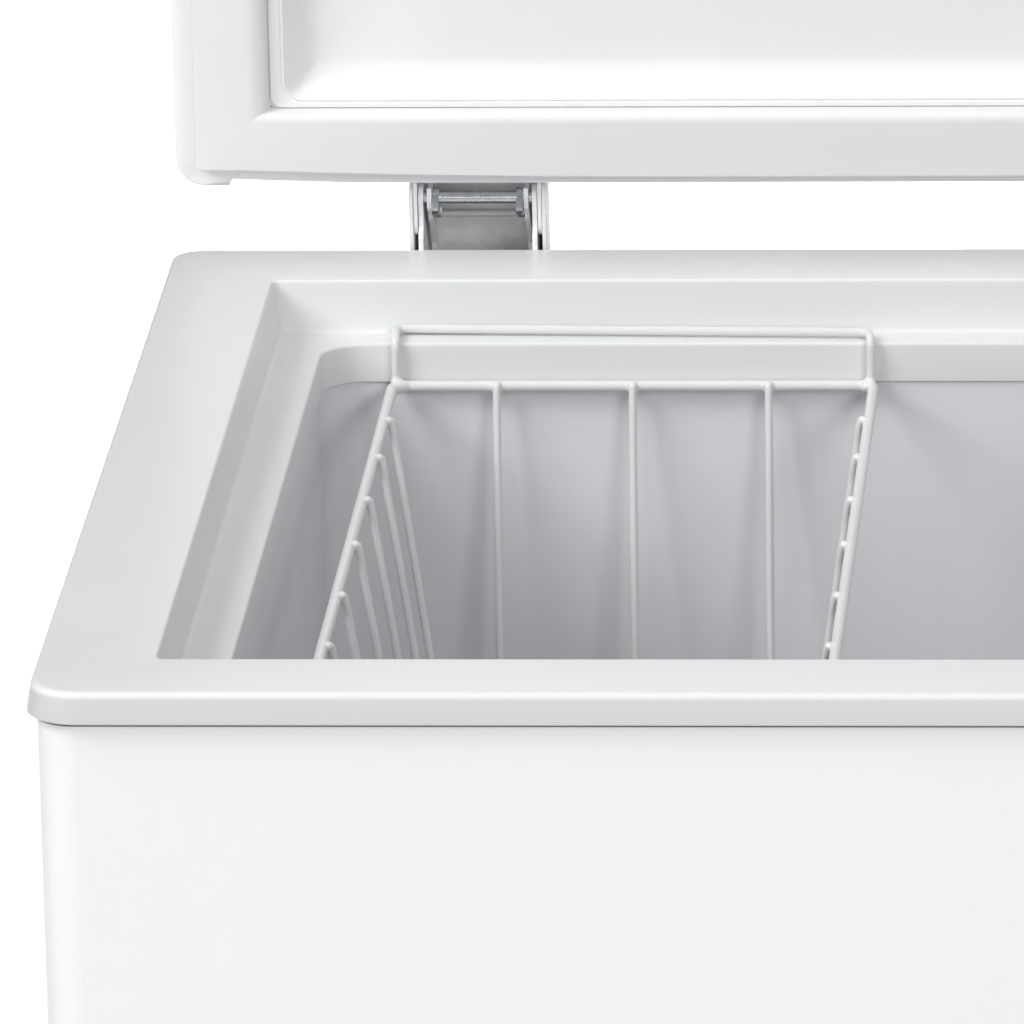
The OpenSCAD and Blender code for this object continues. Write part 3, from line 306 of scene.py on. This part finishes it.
MATERIALS = {
    "skin_white": painted_steel(),
    "collar_white": collar_plastic(),
    "liner_white": vacuum_formed("liner_sheet", (0.68, 0.69, 0.705), 0.42),
    "lid_panel_white": vacuum_formed("lid_panel_sheet", (0.88, 0.88, 0.885), 0.40),
    "trim_white": moulded("trim_plastic", (0.84, 0.845, 0.85), 0.40),
    "gasket_white": soft_rubber("gasket_rubber", (0.80, 0.805, 0.81), 0.55),
    "coated_wire": coated_wire(),
    "galvanised": galvanised(),
    "bright_steel": bright_metal("bright_steel", (0.72, 0.73, 0.74), 0.24),
    "spring_steel": bright_metal("spring_steel", (0.32, 0.33, 0.35), 0.38),
    "foam": rigid_foam(),
    "aluminium_tube": bright_metal("aluminium_tube", (0.70, 0.71, 0.72), 0.35),
    "copper_tube": bright_metal("copper_tube", (0.72, 0.40, 0.26), 0.30),
    "black_paint": moulded("black_paint", (0.02, 0.02, 0.022), 0.35),
    "black_rubber": soft_rubber("black_rubber", (0.025, 0.025, 0.025), 0.7),
    "black_plastic": moulded("black_plastic", (0.03, 0.03, 0.032), 0.5),
    "dark_plastic": moulded("dark_plastic", (0.12, 0.12, 0.125), 0.5),
    "lamp_green": lit_lens("lamp_green", (0.08, 0.5, 0.14)),
    "lamp_amber": lit_lens("lamp_amber", (0.8, 0.42, 0.05)),
}

SLOTS = {part["node"]: part["material_slot"] for part in frame["record"]["subparts"]}
for node, obj in NODES.items():
    obj.data.materials.clear()
    obj.data.materials.append(MATERIALS[SLOTS[node]])


# ---- mesh tools ------------------------------------------------------------
# A level is one rounded rectangle: left, right, front, rear, front corner radius,
# rear corner radius, height, and how far the rear edge steps in between two toes.
def level(x0, x1, y0, y1, front_r, rear_r, z, notch=0.0):
    return np.array([x0, x1, y0, y1, front_r, rear_r, z, notch], float)


def inset(base, d, z=None):
    """The level moved inwards by d, and up or down to z."""
    made = base + np.array([d, -d, d, -d, -d, -d, 0, 0])
    made[4:6] = np.maximum(made[4:6], 0.3)
    if z is not None:
        made[6] = z
    return made


def soften(levels, radii, closed=False, steps=5):
    """Rounds the profile at each level by its radius."""
    made = []
    count = len(levels)
    for i, (here, r) in enumerate(zip(levels, radii)):
        ends = not closed and i in (0, count - 1)
        if ends or r <= 0:
            made.append(here)
            continue
        before, after = levels[i - 1], levels[(i + 1) % count]
        reach = []
        for other in (before, after):
            gap = math.hypot(np.abs((other - here)[:4]).max(), (other - here)[6])
            reach.append(here + (other - here) * min(0.49, r / gap))
        for t in np.linspace(0, 1, steps):
            made.append((1 - t) ** 2 * reach[0] + 2 * t * (1 - t) * here + t ** 2 * reach[1])
    return made


TOE_LENGTH = 20.0
# distances from a toe at which a rear edge gets a point of its own, so that it can bow
STOPS = (5, 12, 22, 36, 52, 75, 110, 160, 230, 320)


def ring(lv, per_corner):
    """Points of one level, anticlockwise from the front left corner."""
    x0, x1, y0, y1, rf, rr, z, notch = lv
    corners = ((x0 + rf, y0 + rf, rf, 180), (x1 - rf, y0 + rf, rf, 270),
               (x1 - rr, y1 - rr, rr, 0), (x0 + rr, y1 - rr, rr, 90))
    points = []
    for i, (cx, cy, r, start) in enumerate(corners):
        for k in range(per_corner + 1):
            a = math.radians(start + 90 * k / per_corner)
            points.append((cx + r * math.cos(a), cy + r * math.sin(a), z))
        if i == 2:
            tight = min(1.0, (x1 - x0) / 900)
            steps = [(0, 0), (0.9, 0.25), (1.3, 1)] + [(d * tight, 1) for d in STOPS]
            for s, x in ((1, x1 - TOE_LENGTH), (-1, x0 + TOE_LENGTH)):
                for along, share in steps[::s]:
                    points.append((x - s * along, y1 - notch * share, z))
    return points


def link(name, verts, faces, material, angle=32, place=None):
    """Makes a welded, smooth-shaded mesh object from millimetre points."""
    bm = bmesh.new()
    made = [bm.verts.new(Vector(v) * MM) for v in verts]
    for f in faces:
        bm.faces.new([made[i] for i in f])
    if place is not None:
        bm.transform(place)
    bmesh.ops.remove_doubles(bm, verts=bm.verts, dist=2e-6)
    bmesh.ops.dissolve_degenerate(bm, edges=bm.edges, dist=2e-6)
    bmesh.ops.recalc_face_normals(bm, faces=bm.faces)
    mesh = bpy.data.meshes.new(name)
    bm.to_mesh(mesh)
    bm.free()
    mesh.shade_smooth()
    mesh.set_sharp_from_angle(angle=math.radians(angle))
    mesh.materials.append(material)
    obj = bpy.data.objects.new(name, mesh)
    bpy.context.scene.collection.objects.link(obj)
    return obj


def loft(name, levels, material, closed=False, caps=(False, False), per_corner=10, place=None,
         angle=32):
    """Skins a stack of levels; closed joins the last level to the first."""
    verts, faces = [], []
    for lv in levels:
        verts.extend(ring(lv, per_corner))
    n = len(verts) // len(levels)
    last = len(levels) if closed else len(levels) - 1
    for i in range(last):
        a, b = i * n, (i + 1) % len(levels) * n
        for k in range(n):
            m = (k + 1) % n
            faces.append((a + k, a + m, b + m, b + k))
    if caps[0]:
        faces.append(tuple(range(n)))
    if caps[1]:
        start = (len(levels) - 1) * n
        faces.append(tuple(start + k for k in range(n)))
    return link(name, verts, faces, material, angle, place)


def formed_sheet(name, profile, thick, away, material, place=None):
    """A sheet formed along a profile; its hidden side lies outwards and away along Z."""
    face = soften([p[0] for p in profile], [p[1] for p in profile], steps=7)
    back = [inset(lv, -thick, lv[6] + away * thick) for lv in face[::-1]]
    return loft(name, back + face, material, caps=(True, True), place=place)


def stand_for(obj, nodes, body):
    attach(obj, body)
    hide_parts(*nodes)


def finer(node, bevel):
    """A CAD node redrawn with its flat faces joined and its edges broken."""
    source = NODES[node]
    mesh = source.data.copy()
    obj = bpy.data.objects.new(node + "_fine", mesh)
    bpy.context.scene.collection.objects.link(obj)
    bm = bmesh.new()
    bm.from_mesh(mesh)
    bmesh.ops.remove_doubles(bm, verts=bm.verts, dist=1e-6)
    bmesh.ops.dissolve_limit(bm, angle_limit=math.radians(0.5), verts=bm.verts, edges=bm.edges)
    bm.to_mesh(mesh)
    bm.free()
    cut = obj.modifiers.new("edges", "BEVEL")
    cut.width = bevel * MM
    cut.segments = 2
    cut.limit_method = "ANGLE"
    cut.angle_limit = math.radians(30)
    apply_modifiers(obj)
    obj.data.shade_smooth()
    obj.data.set_sharp_from_angle(angle=math.radians(35))
    stand_for(obj, [node], source["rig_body"])
    return obj


def apply_modifiers(obj):
    graph = bpy.context.evaluated_depsgraph_get()
    baked = bpy.data.meshes.new_from_object(obj.evaluated_get(graph), depsgraph=graph)
    obj.modifiers.clear()
    old = obj.data
    obj.data = baked
    bpy.data.meshes.remove(old)


def opened():
    """Turns a lid drawn closed into the open lid."""
    to = Matrix.Translation(Vector(PIVOT) * MM)
    return to @ Matrix.Rotation(math.radians(-90), 4, "X") @ to.inverted()


# ---- top collar ------------------------------------------------------------
BAND_SIDE, BAND_REAR, BAND_FRONT = 40.8, 41.0, 37.0
LEDGE_DROP = 20.3
WALL_DRAFT = 2.4
THROAT_X, THROAT_Y, THROAT_R = 412.4, 208.7, 16.0
LIP_H = 11.2
LIP_T = 3.5
FRONT_R, REAR_R = 17.0, 10.0
MOUTH_FRONT_R, MOUTH_REAR_R = 3.5, 3.0
REAR_PROUD = 0.3
WALL_T = 3.0


def make_collar():
    """Top band with its outside lip, the step with the ledge, and the throat."""
    rim = level(-SIDE, SIDE, FRONT, REAR + REAR_PROUD, FRONT_R, REAR_R, TOP)
    lip = rim + np.array([-LIP_FLARE, LIP_FLARE, -LIP_FLARE, 0, LIP_FLARE, 0, -LIP_H, 0])
    lip_back = inset(lip, LIP_T)
    mouth = level(-SIDE + BAND_SIDE, SIDE - BAND_SIDE, FRONT + BAND_FRONT, REAR - BAND_REAR,
                  MOUTH_FRONT_R, MOUTH_REAR_R, TOP)
    foot = mouth + np.array([WALL_DRAFT, -WALL_DRAFT, WALL_DRAFT / 2, -WALL_DRAFT / 2, 0, 0,
                             -LEDGE_DROP, 0])
    throat = level(-THROAT_X, THROAT_X, MID_Y - THROAT_Y, MID_Y + THROAT_Y, THROAT_R,
                   THROAT_R, TOP - LEDGE_DROP)
    profile = [
        (lip, 0.9), (rim, 2.1), (mouth, 1.2), (foot, 2.2),
        (throat, 1.3), (inset(throat, 0, SEAM), 0.6), (inset(throat, -WALL_T, SEAM), 0),
        (inset(throat, -WALL_T, TOP - LEDGE_DROP - WALL_T), 0),
        (inset(mouth, -WALL_T, TOP - LEDGE_DROP - WALL_T), 0),
        (inset(mouth, -WALL_T, TOP - WALL_T), 0), (inset(lip_back, 0, TOP - WALL_T), 0),
        (lip_back, 0),
    ]
    levels = soften([p[0] for p in profile], [p[1] for p in profile], closed=True, steps=7)
    obj = loft("collar_moulding", levels, MATERIALS["collar_white"], closed=True)
    stand_for(obj, ["top_collar"], "cabinet")


# the dark strip below stands in for the shadow line under the lip
STRIP_LOW, STRIP_HIGH = TOP - LIP_H - 1.45, TOP - LIP_H + 1.2
STRIP_OUT, STRIP_IN = 0.15, 0.4
SKIN_FRONT_R = 14.0


def make_lip_shadow_strip():
    """Dark strip between lip and skin: a painted shadow that shows as a fine line under the lip.
    """
    low, high = box_mm("cabinet_shell")
    skin = level(low[0], high[0], low[1], high[1], SKIN_FRONT_R, REAR_R, STRIP_LOW)
    levels = [inset(skin, -STRIP_OUT, STRIP_LOW), inset(skin, -STRIP_OUT, STRIP_HIGH),
              inset(skin, STRIP_IN, STRIP_HIGH), inset(skin, STRIP_IN, STRIP_LOW)]
    obj = loft("lip_shadow_strip", levels, MATERIALS["dark_plastic"], closed=True)
    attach(obj, "cabinet")


make_collar()
make_lip_shadow_strip()


# ---- liner ---------------------------------------------------------------------
HUMP_X, HUMP_Z = 155.0, 330.0
LINER_FLOOR = 95.0
LINER_T = 1.5
LINER_GAP = 1.0
LINER_R = 17.0
LINER_CAP = 60.0


def make_liner():
    """Formed tub with the step over the machine bay at its right-hand end."""
    x, y = THROAT_X + LINER_GAP, THROAT_Y + LINER_GAP
    mouth = level(-x, x, MID_Y - y, MID_Y + y, LINER_R, LINER_R, SEAM)
    above = inset(mouth, 0.8, HUMP_Z)
    below = above.copy()
    below[1] = HUMP_X
    floor = inset(below, 1.2, LINER_FLOOR)
    profile = [(inset(mouth, -9.0), 0), (mouth, 1.0), (above, 14.0), (below, 4.0),
               (floor, 22.0), (inset(floor, LINER_CAP), 0)]
    obj = formed_sheet("liner_tub", profile, LINER_T, -1, MATERIALS["liner_white"])
    stand_for(obj, ["inner_liner"], "cabinet")


make_liner()


# ---- lid ---------------------------------------------------------------------
LID_UNDER, LID_TOP = TOP + 10.3, TOP + 55.3
LID_X, LID_FRONT_R, LID_REAR_R = 472.0, 18.0, 11.0
LID_Y0, LID_Y1 = FRONT - 2.0, REAR + 1.0
LID_T = 1.0
LID_CAP = 70.0
RETURN = 14.0
TOE, TOE_H, BOW_H = 0.8, 8.0, 22.0
SEAL_X, SEAL_Y = 463.6, 261.1
SEAL_SIDE, SEAL_END = 28.6, 25.8
BORDER_H, BORDER_R, BORDER_GAP = 3.0, 4, 0.1
BORDER_X, BORDER_Y = SEAL_X - SEAL_SIDE - BORDER_GAP, SEAL_Y - SEAL_END - BORDER_GAP
DISH_X, DISH_Y, DISH_WALL, DISH_H, DISH_R = BORDER_X - 5.0, BORDER_Y - 2.6, 7.6, 8.0, 7.2
PANEL_T, PANEL_CAP = 1.4, 60.0
PANEL_Z = LID_UNDER + 0.6
FOAM_IN, FOAM_UP, FOAM_OFF = 3.0, 2.2, 2.0


def bow(obj, rise, reach, power, share, at_toe=1.0):
    """Draws a rear edge in by rise at the toes, fading out along it over the reach.

    share fades it over the depth and the height of the lid, which is taken as shut.
    """
    shut, back = opened(), opened().inverted()
    for v in obj.data.vertices:
        p = back @ v.co / MM
        u = LID_X - TOE_LENGTH - abs(p.x)
        near = max(0.0, 1 - u / reach) ** power if u > 0.5 else at_toe
        if p.y > MID_Y:
            p.y -= rise * near * min(1.0, max(0.0, share(p)))
            v.co = shut @ (p * MM)


def make_lid_shell():
    """Folded pan with a return under it and a toe at each rear corner."""
    toed = level(-LID_X, LID_X, LID_Y0, LID_Y1 + TOE, LID_FRONT_R, LID_REAR_R, LID_UNDER, TOE)
    plain = level(-LID_X, LID_X, LID_Y0, LID_Y1, LID_FRONT_R, LID_REAR_R,
                  LID_UNDER + TOE_H + 1)
    profile = [
        (inset(plain, LID_CAP, LID_TOP - LID_T), 0), (inset(plain, LID_T, LID_TOP - LID_T), 3),
        (inset(plain, LID_T, LID_UNDER + LID_T), 0),
        (inset(plain, RETURN, LID_UNDER + LID_T), 0), (inset(toed, RETURN, LID_UNDER), 0),
        (toed, 1.4), (inset(toed, 0, LID_UNDER + TOE_H), 0.8), (plain, 0.3),
        (inset(plain, 0, LID_UNDER + BOW_H), 0), (inset(plain, 0, LID_TOP), 4.0),
        (inset(plain, LID_CAP, LID_TOP), 0),
    ]
    levels = soften([p[0] for p in profile], [p[1] for p in profile], steps=6)
    obj = loft("lid_pan", levels, MATERIALS["skin_white"], caps=(True, True), place=opened())
    bow(obj, 1.8, 64.0, 1.5, at_toe=0.0,
        share=lambda p: min((p.y - LID_Y1 + 3.0) / 2, (LID_UNDER + BOW_H - p.z) / 13))
    stand_for(obj, ["lid_shell"], "lid")


def make_lid_panel():
    """Flange under the seal, a raised border inside it, a fine crease and the dish."""
    edge = level(-SEAL_X, SEAL_X, MID_Y - SEAL_Y, MID_Y + SEAL_Y, 10, 7, PANEL_Z)
    foot = level(-BORDER_X, BORDER_X, MID_Y - BORDER_Y, MID_Y + BORDER_Y, BORDER_R, BORDER_R,
                 PANEL_Z)
    border = inset(foot, 0.0, LID_UNDER - BORDER_H)
    dish = level(-DISH_X, DISH_X, MID_Y - DISH_Y, MID_Y + DISH_Y, DISH_R, DISH_R,
                 LID_UNDER - BORDER_H)
    floor = inset(dish, DISH_WALL, LID_UNDER + DISH_H)
    profile = [(edge, 0), (foot, 0.5), (border, 0.8), (inset(dish, -0.9), 0.3),
               (inset(dish, -0.3, dish[6] + 0.7), 0.2), (inset(dish, 0.3), 0.5),
               (floor, 7.0), (inset(floor, PANEL_CAP), 0)]
    obj = formed_sheet("lid_liner", profile, PANEL_T, 1, MATERIALS["lid_panel_white"],
                       place=opened())
    stand_for(obj, ["lid_inner_panel"], "lid")


def make_lid_foam():
    """Foam between the pan and the panel, clear of the pan's drawn-in rear edge."""
    around = level(-LID_X, LID_X, LID_Y0, LID_Y1, LID_FRONT_R, LID_REAR_R, LID_UNDER)
    dish = level(-DISH_X, DISH_X, MID_Y - DISH_Y, MID_Y + DISH_Y, DISH_R, DISH_R, LID_UNDER)
    low, high = LID_UNDER + FOAM_UP, LID_TOP - 1.4
    deep = LID_UNDER + DISH_H + FOAM_UP
    profile = [(inset(dish, PANEL_CAP, deep), 0), (inset(dish, DISH_WALL - FOAM_OFF, deep), 4.0),
               (inset(dish, -FOAM_UP, low), 1.0), (inset(around, FOAM_IN, low), 1.0),
               (inset(around, FOAM_IN, high), 3.0), (inset(around, LID_CAP, high), 0)]
    levels = soften([p[0] for p in profile], [p[1] for p in profile], steps=3)
    obj = loft("lid_filling", levels, MATERIALS["foam"], caps=(True, True), place=opened())
    stand_for(obj, ["lid_foam"], "lid")


def make_gasket():
    """Seal with a broad flat face; its rear edge draws in towards the corners."""
    # distance in from the outer edge at the sides and at the ends, height off the lid, rounding
    outline = [(0.0, 0.0, 0.4, 0), (0.0, 0.0, 8.0, 1.2), (0.3, 0.3, 10.0, 0.7),
               (SEAL_SIDE - 6.0, SEAL_END - 2.6, 10.0, 2.2),
               (SEAL_SIDE - 2.0, SEAL_END - 0.9, 7.8, 1.6), (SEAL_SIDE, SEAL_END, 1.2, 0)]
    levels = []
    for dx, dy, h, r in outline:
        levels.append(level(-SEAL_X + dx, SEAL_X - dx, MID_Y - SEAL_Y + dy,
                            MID_Y + SEAL_Y - dy, 0.4, 0.4, LID_UNDER - h))
    levels = soften(levels, [p[3] for p in outline], closed=True, steps=6)
    obj = loft("lid_seal", levels, MATERIALS["gasket_white"], closed=True, per_corner=2,
               place=opened())
    outer, inner = MID_Y + SEAL_Y, MID_Y + SEAL_Y - SEAL_END
    bow(obj, 3.1, 170.0, 2.0, share=lambda p: (p.y - inner) / (outer - inner))
    stand_for(obj, ["lid_gasket"], "lid")


make_lid_shell()
make_lid_panel()
make_lid_foam()
make_gasket()


# ---- basket --------------------------------------------------------------------
RIM_D, HANGER_D, WIRE_D = 4.1, 3.3, 2.6
COAT = 0.12
COAT_VOXEL = 0.55
RIM_SINK = 0.5
HANGER_OUT, HANGER_SKEW = 9, 3.0
RIM_IN = 3
# along the rim, across it, up, and radius of the welds at the left-hand corners
CORNER_BEADS = ((1.6, 0.3, 1.8, 2.4), (2.6, 1.6, 0.2, 2.7), (4.4, 1.0, 0.2, 2.4),
                (1.4, 3.0, 0.0, 2.4))
SIDE_WIRES = (160, 114, 62, 9, -50, -107, -163)
REAR_PITCH = 51.0
LEAN = math.tan(math.radians(8.5))


def tube(points, r, sides=12):
    """Verts and faces of a closed tube along points."""
    points = [np.array(p, float) for p in points]
    verts, faces = [], []
    normal = None
    for i, p in enumerate(points):
        t = points[min(i + 1, len(points) - 1)] - points[max(i - 1, 0)]
        t /= np.linalg.norm(t)
        if normal is None:
            normal = np.cross(t, (0, 0, 1) if abs(t[2]) < 0.9 else (1, 0, 0))
        normal = normal - t * normal.dot(t)
        normal /= np.linalg.norm(normal)
        side = np.cross(t, normal)
        for k in range(sides):
            a = 2 * math.pi * k / sides
            verts.append(p + r * (math.cos(a) * normal + math.sin(a) * side))
    for i in range(len(points) - 1):
        for k in range(sides):
            m = (k + 1) % sides
            faces.append((i * sides + k, i * sides + m, (i + 1) * sides + m, (i + 1) * sides + k))
    faces.append(tuple(range(sides)))
    faces.append(tuple(len(verts) - sides + k for k in range(sides)))
    return verts, faces


def bent(points, r, steps=6):
    """A path with its inner corners rounded."""
    points = [np.array(p, float) for p in points]
    made = [points[0]]
    for a, b, c in zip(points, points[1:], points[2:]):
        before = b + (a - b) / np.linalg.norm(a - b) * r
        after = b + (c - b) / np.linalg.norm(c - b) * r
        for t in np.linspace(0, 1, steps):
            made.append((1 - t) ** 2 * before + 2 * t * (1 - t) * b + t * t * after)
    return made + [points[-1]]


def joined(name, parts, material):
    verts, faces = [], []
    for v, f in parts:
        start = len(verts)
        verts.extend(v)
        faces.extend(tuple(start + i for i in face) for face in f)
    return link(name, verts, faces, material)


def ball(centre, r, rings=8, sides=12):
    """A round weld bead."""
    rows = [(math.sin(math.pi * i / rings), math.cos(math.pi * i / rings))
            for i in range(1, rings)]
    verts = [np.array(centre) + r * np.array((0, 0, 1))]
    for s, c in rows:
        for k in range(sides):
            a = 2 * math.pi * k / sides
            verts.append(np.array(centre) + r * np.array((s * math.cos(a), s * math.sin(a), c)))
    verts.append(np.array(centre) - r * np.array((0, 0, 1)))
    faces = [(0, 1 + k, 1 + (k + 1) % sides) for k in range(sides)]
    for i in range(len(rows) - 1):
        a, b = 1 + i * sides, 1 + (i + 1) * sides
        for k in range(sides):
            m = (k + 1) % sides
            faces.append((a + k, b + k, b + m, a + m))
    a = 1 + (len(rows) - 1) * sides
    faces.extend((len(verts) - 1, a + (k + 1) % sides, a + k) for k in range(sides))
    return verts, faces


def make_basket():
    """Rim, hangers on the ledge, sloping wires and a hoop, run together at the welds."""
    rim_low, rim_high = box_mm("basket_rim")
    r = RIM_D / 2
    x0, x1 = rim_low[0] + r, rim_high[0] - r
    rim_z = SEAM - RIM_SINK
    reach = THROAT_Y - RIM_IN
    y0, y1 = MID_Y - reach, MID_Y + reach
    floor_z = box_mm("basket_cross_wires")[0][2] + WIRE_D / 2
    depth = rim_z - floor_z
    top_in = r + WIRE_D / 2 - 0.3
    into = top_in + LEAN * depth
    mid_x = (x0 + x1) / 2
    parts, beads = [], []
    loop = bent([(mid_x, y0, rim_z), (x1, y0, rim_z), (x1, y1, rim_z), (x0, y1, rim_z),
                 (x0, y0, rim_z), (mid_x - 1, y0, rim_z)], 5.0)
    parts.append(tube(loop, r + COAT))
    bar_z = TOP - LEDGE_DROP + RIM_D / 2 + 0.3
    for s in (-1, 1):
        ry = MID_Y + s * reach
        by = MID_Y + s * (THROAT_Y + HANGER_OUT)
        path = [(x0 + 1.5, ry, rim_z), (x0 + 1.5, ry, bar_z),
                (x0 + 0.5, by + s * HANGER_SKEW, bar_z), (x1 - 2, by - s * HANGER_SKEW, bar_z),
                (x1 - 1, ry, bar_z), (x1 - 1, ry, rim_z)]
        parts.append(tube(bent(path, 4.0), HANGER_D / 2 + COAT))
        for along, across, up, size in CORNER_BEADS:
            beads.append(((x0 + along, ry - s * across, rim_z + up), size))
        beads += [((x1 - 1.4, ry, rim_z + 1.6), 2.4), ((x1 - 2.4, ry - s * 1.4, rim_z), 2.5)]
    for y in SIDE_WIRES:
        fy = MID_Y + y * (1 - into / reach)
        y += MID_Y
        path = [(x0 + top_in, y, rim_z + 1), (x0 + into, fy, floor_z), (x1 - into, fy, floor_z),
                (x1 - top_in, y, rim_z + 1)]
        parts.append(tube(bent(path, 8.0), WIRE_D / 2 + 2 * COAT))
        for x in (x0 + top_in - 0.7, x1 - top_in + 0.7):
            beads += [((x, y - 0.5, rim_z + 0.7), 1.75), ((x, y, rim_z - 0.6), 1.7)]
    for i in (-1, 0, 1):
        x = mid_x + i * REAR_PITCH
        path = [(x, y0 + top_in, rim_z + 1), (x, y0 + into, floor_z - WIRE_D + 0.2),
                (x, y1 - into, floor_z - WIRE_D + 0.2), (x, y1 - top_in, rim_z + 1)]
        parts.append(tube(bent(path, 8.0), WIRE_D / 2 + 2 * COAT))
        for y in (y0 + top_in - 0.7, y1 - top_in + 0.7):
            beads += [((x, y, rim_z + 0.7), 1.75), ((x, y, rim_z - 1.4), 1.75)]
    hoop = 0.62 * depth
    hin = top_in + LEAN * hoop - WIRE_D + 0.4
    hz = rim_z - hoop
    path = [(mid_x, y0 + hin, hz), (x1 - hin, y0 + hin, hz), (x1 - hin, y1 - hin, hz),
            (x0 + hin, y1 - hin, hz), (x0 + hin, y0 + hin, hz), (mid_x - 1, y0 + hin, hz)]
    parts.append(tube(bent(path, 6.0), WIRE_D / 2 + COAT))
    parts += [ball(c, size) for c, size in beads]
    obj = joined("wire_basket", parts, MATERIALS["coated_wire"])
    fuse(obj, COAT_VOXEL)
    stand_for(obj, ["basket_rim", "basket_cross_wires", "basket_long_wires", "basket_hoop"],
              "basket")


def fuse(obj, voxel):
    """Runs the wires and welds together under one skin of coating."""
    mod = obj.modifiers.new("coating", "REMESH")
    mod.mode = "VOXEL"
    mod.voxel_size = voxel * MM
    soft = obj.modifiers.new("flow", "SMOOTH")
    soft.factor = 0.5
    soft.iterations = 4
    fewer = obj.modifiers.new("fewer", "DECIMATE")
    fewer.ratio = 0.25
    apply_modifiers(obj)
    obj.data.shade_smooth()


make_basket()


# ---- hinge springs ---------------------------------------------------------------
SPRING_TURNS, SPRING_WIRE = 8, 1.4
SPRING_STEPS = 32
CLOSED_TURN = 0.055


def make_spring(side):
    """Coil with a closed turn at each end, drawn at one length; the real spring shortens as the
    lid shuts.
    """
    node = "spring_" + side
    low, high = box_mm(node)
    cx, cy = (low[0] + high[0]) / 2, (low[1] + high[1]) / 2
    r = (high[0] - low[0]) / 2 - SPRING_WIRE
    z0, length = low[2] + SPRING_WIRE, high[2] - low[2] - 2 * SPRING_WIRE
    count = SPRING_TURNS * SPRING_STEPS
    points = []
    for i in range(count + 1):
        t = i / count
        turn = 2 * math.pi * SPRING_TURNS * t
        rise = t - CLOSED_TURN * math.sin(2 * math.pi * t)
        points.append((cx + r * math.cos(turn), cy + r * math.sin(turn), z0 + length * rise))
    obj = joined(node + "_coil", [tube(points, SPRING_WIRE, 10)], MATERIALS["spring_steel"])
    stand_for(obj, [node], NODES[node]["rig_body"])
    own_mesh(obj)


make_spring("left")
make_spring("right")


# ---- small parts with broken edges ----------------------------------------------
FINE = {
    "hinge_base_left": 0.35, "hinge_base_right": 0.35, "hinge_cover_left": 0.45,
    "hinge_cover_right": 0.45, "hinge_arm_left": 0.35, "hinge_arm_right": 0.35,
    "lid_handle": 1.6, "control_bezel": 0.5, "thermostat_knob": 0.5, "vent_grille": 0.5,
}
COVER_TAPER = 1.4


def taper(obj, node):
    """Draws the cheeks of a hinge cover in towards the rear, as they are moulded."""
    low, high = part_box(node)
    middle = (low[0] + high[0]) / 2
    half = (high[0] - low[0]) / 2
    for v in obj.data.vertices:
        share = (v.co.y - low[1]) / (high[1] - low[1])
        v.co.x = middle + (v.co.x - middle) * (1 - share * COVER_TAPER * MM / half)


for node, bevel in FINE.items():
    made = finer(node, bevel)
    if node.startswith("hinge_cover"):
        taper(made, node)


# ---- floor and light --------------------------------------------------------------
def make_floor():
    bpy.ops.mesh.primitive_plane_add(size=30, location=(0, 0, 0))
    floor = bpy.context.object
    floor.name = "floor"
    m = Shader("floor_paint", (0.93, 0.93, 0.935), 0.6)
    m.vary_colour(m.noise(1.2, 3.0), 0.99, 1.0)
    floor.data.materials.append(m.material)


def area_light(name, place, aim, size, power, spread=180):
    data = bpy.data.lights.new(name, "AREA")
    data.shape = "RECTANGLE"
    data.size, data.size_y = size
    data.energy = power
    data.spread = math.radians(spread)
    obj = bpy.data.objects.new(name, data)
    obj.location = place
    direction = Vector(aim) - Vector(place)
    obj.rotation_mode = "QUATERNION"
    obj.rotation_quaternion = direction.to_track_quat("-Z", "Y")
    bpy.context.scene.collection.objects.link(obj)


def make_world(strength):
    world = bpy.data.worlds.new("studio")
    world.use_nodes = True
    back = world.node_tree.nodes["Background"]
    back.inputs["Color"].default_value = (0.97, 0.98, 1.0, 1)
    back.inputs["Strength"].default_value = strength
    bpy.context.scene.world = world


make_floor()
make_world(0.08)
area_light("key", (1.7, -3.2, 2.7), (0, 0, 0.7), (1.4, 1.2), 48)
area_light("left", (-2.0, -3.5, 1.9), (-0.3, -0.2, 0.6), (1.4, 1.6), 16)
area_light("lefthigh", (-2.4, -1.2, 2.9), (0, 0, 0.7), (1.4, 1.6), 72)
area_light("front", (0.3, -4.4, 1.7), (0, 0, 0.6), (1.6, 0.9), 24)
area_light("top", (-0.2, -0.6, 3.4), (0, 0, 0.7), (2.4, 1.8), 19)
area_light("back_floor", (-0.5, 3.4, 2.6), (-0.5, 3.2, 0), (2.4, 2.4), 70, spread=80)
bpy.context.scene.view_settings.view_transform = "Standard"
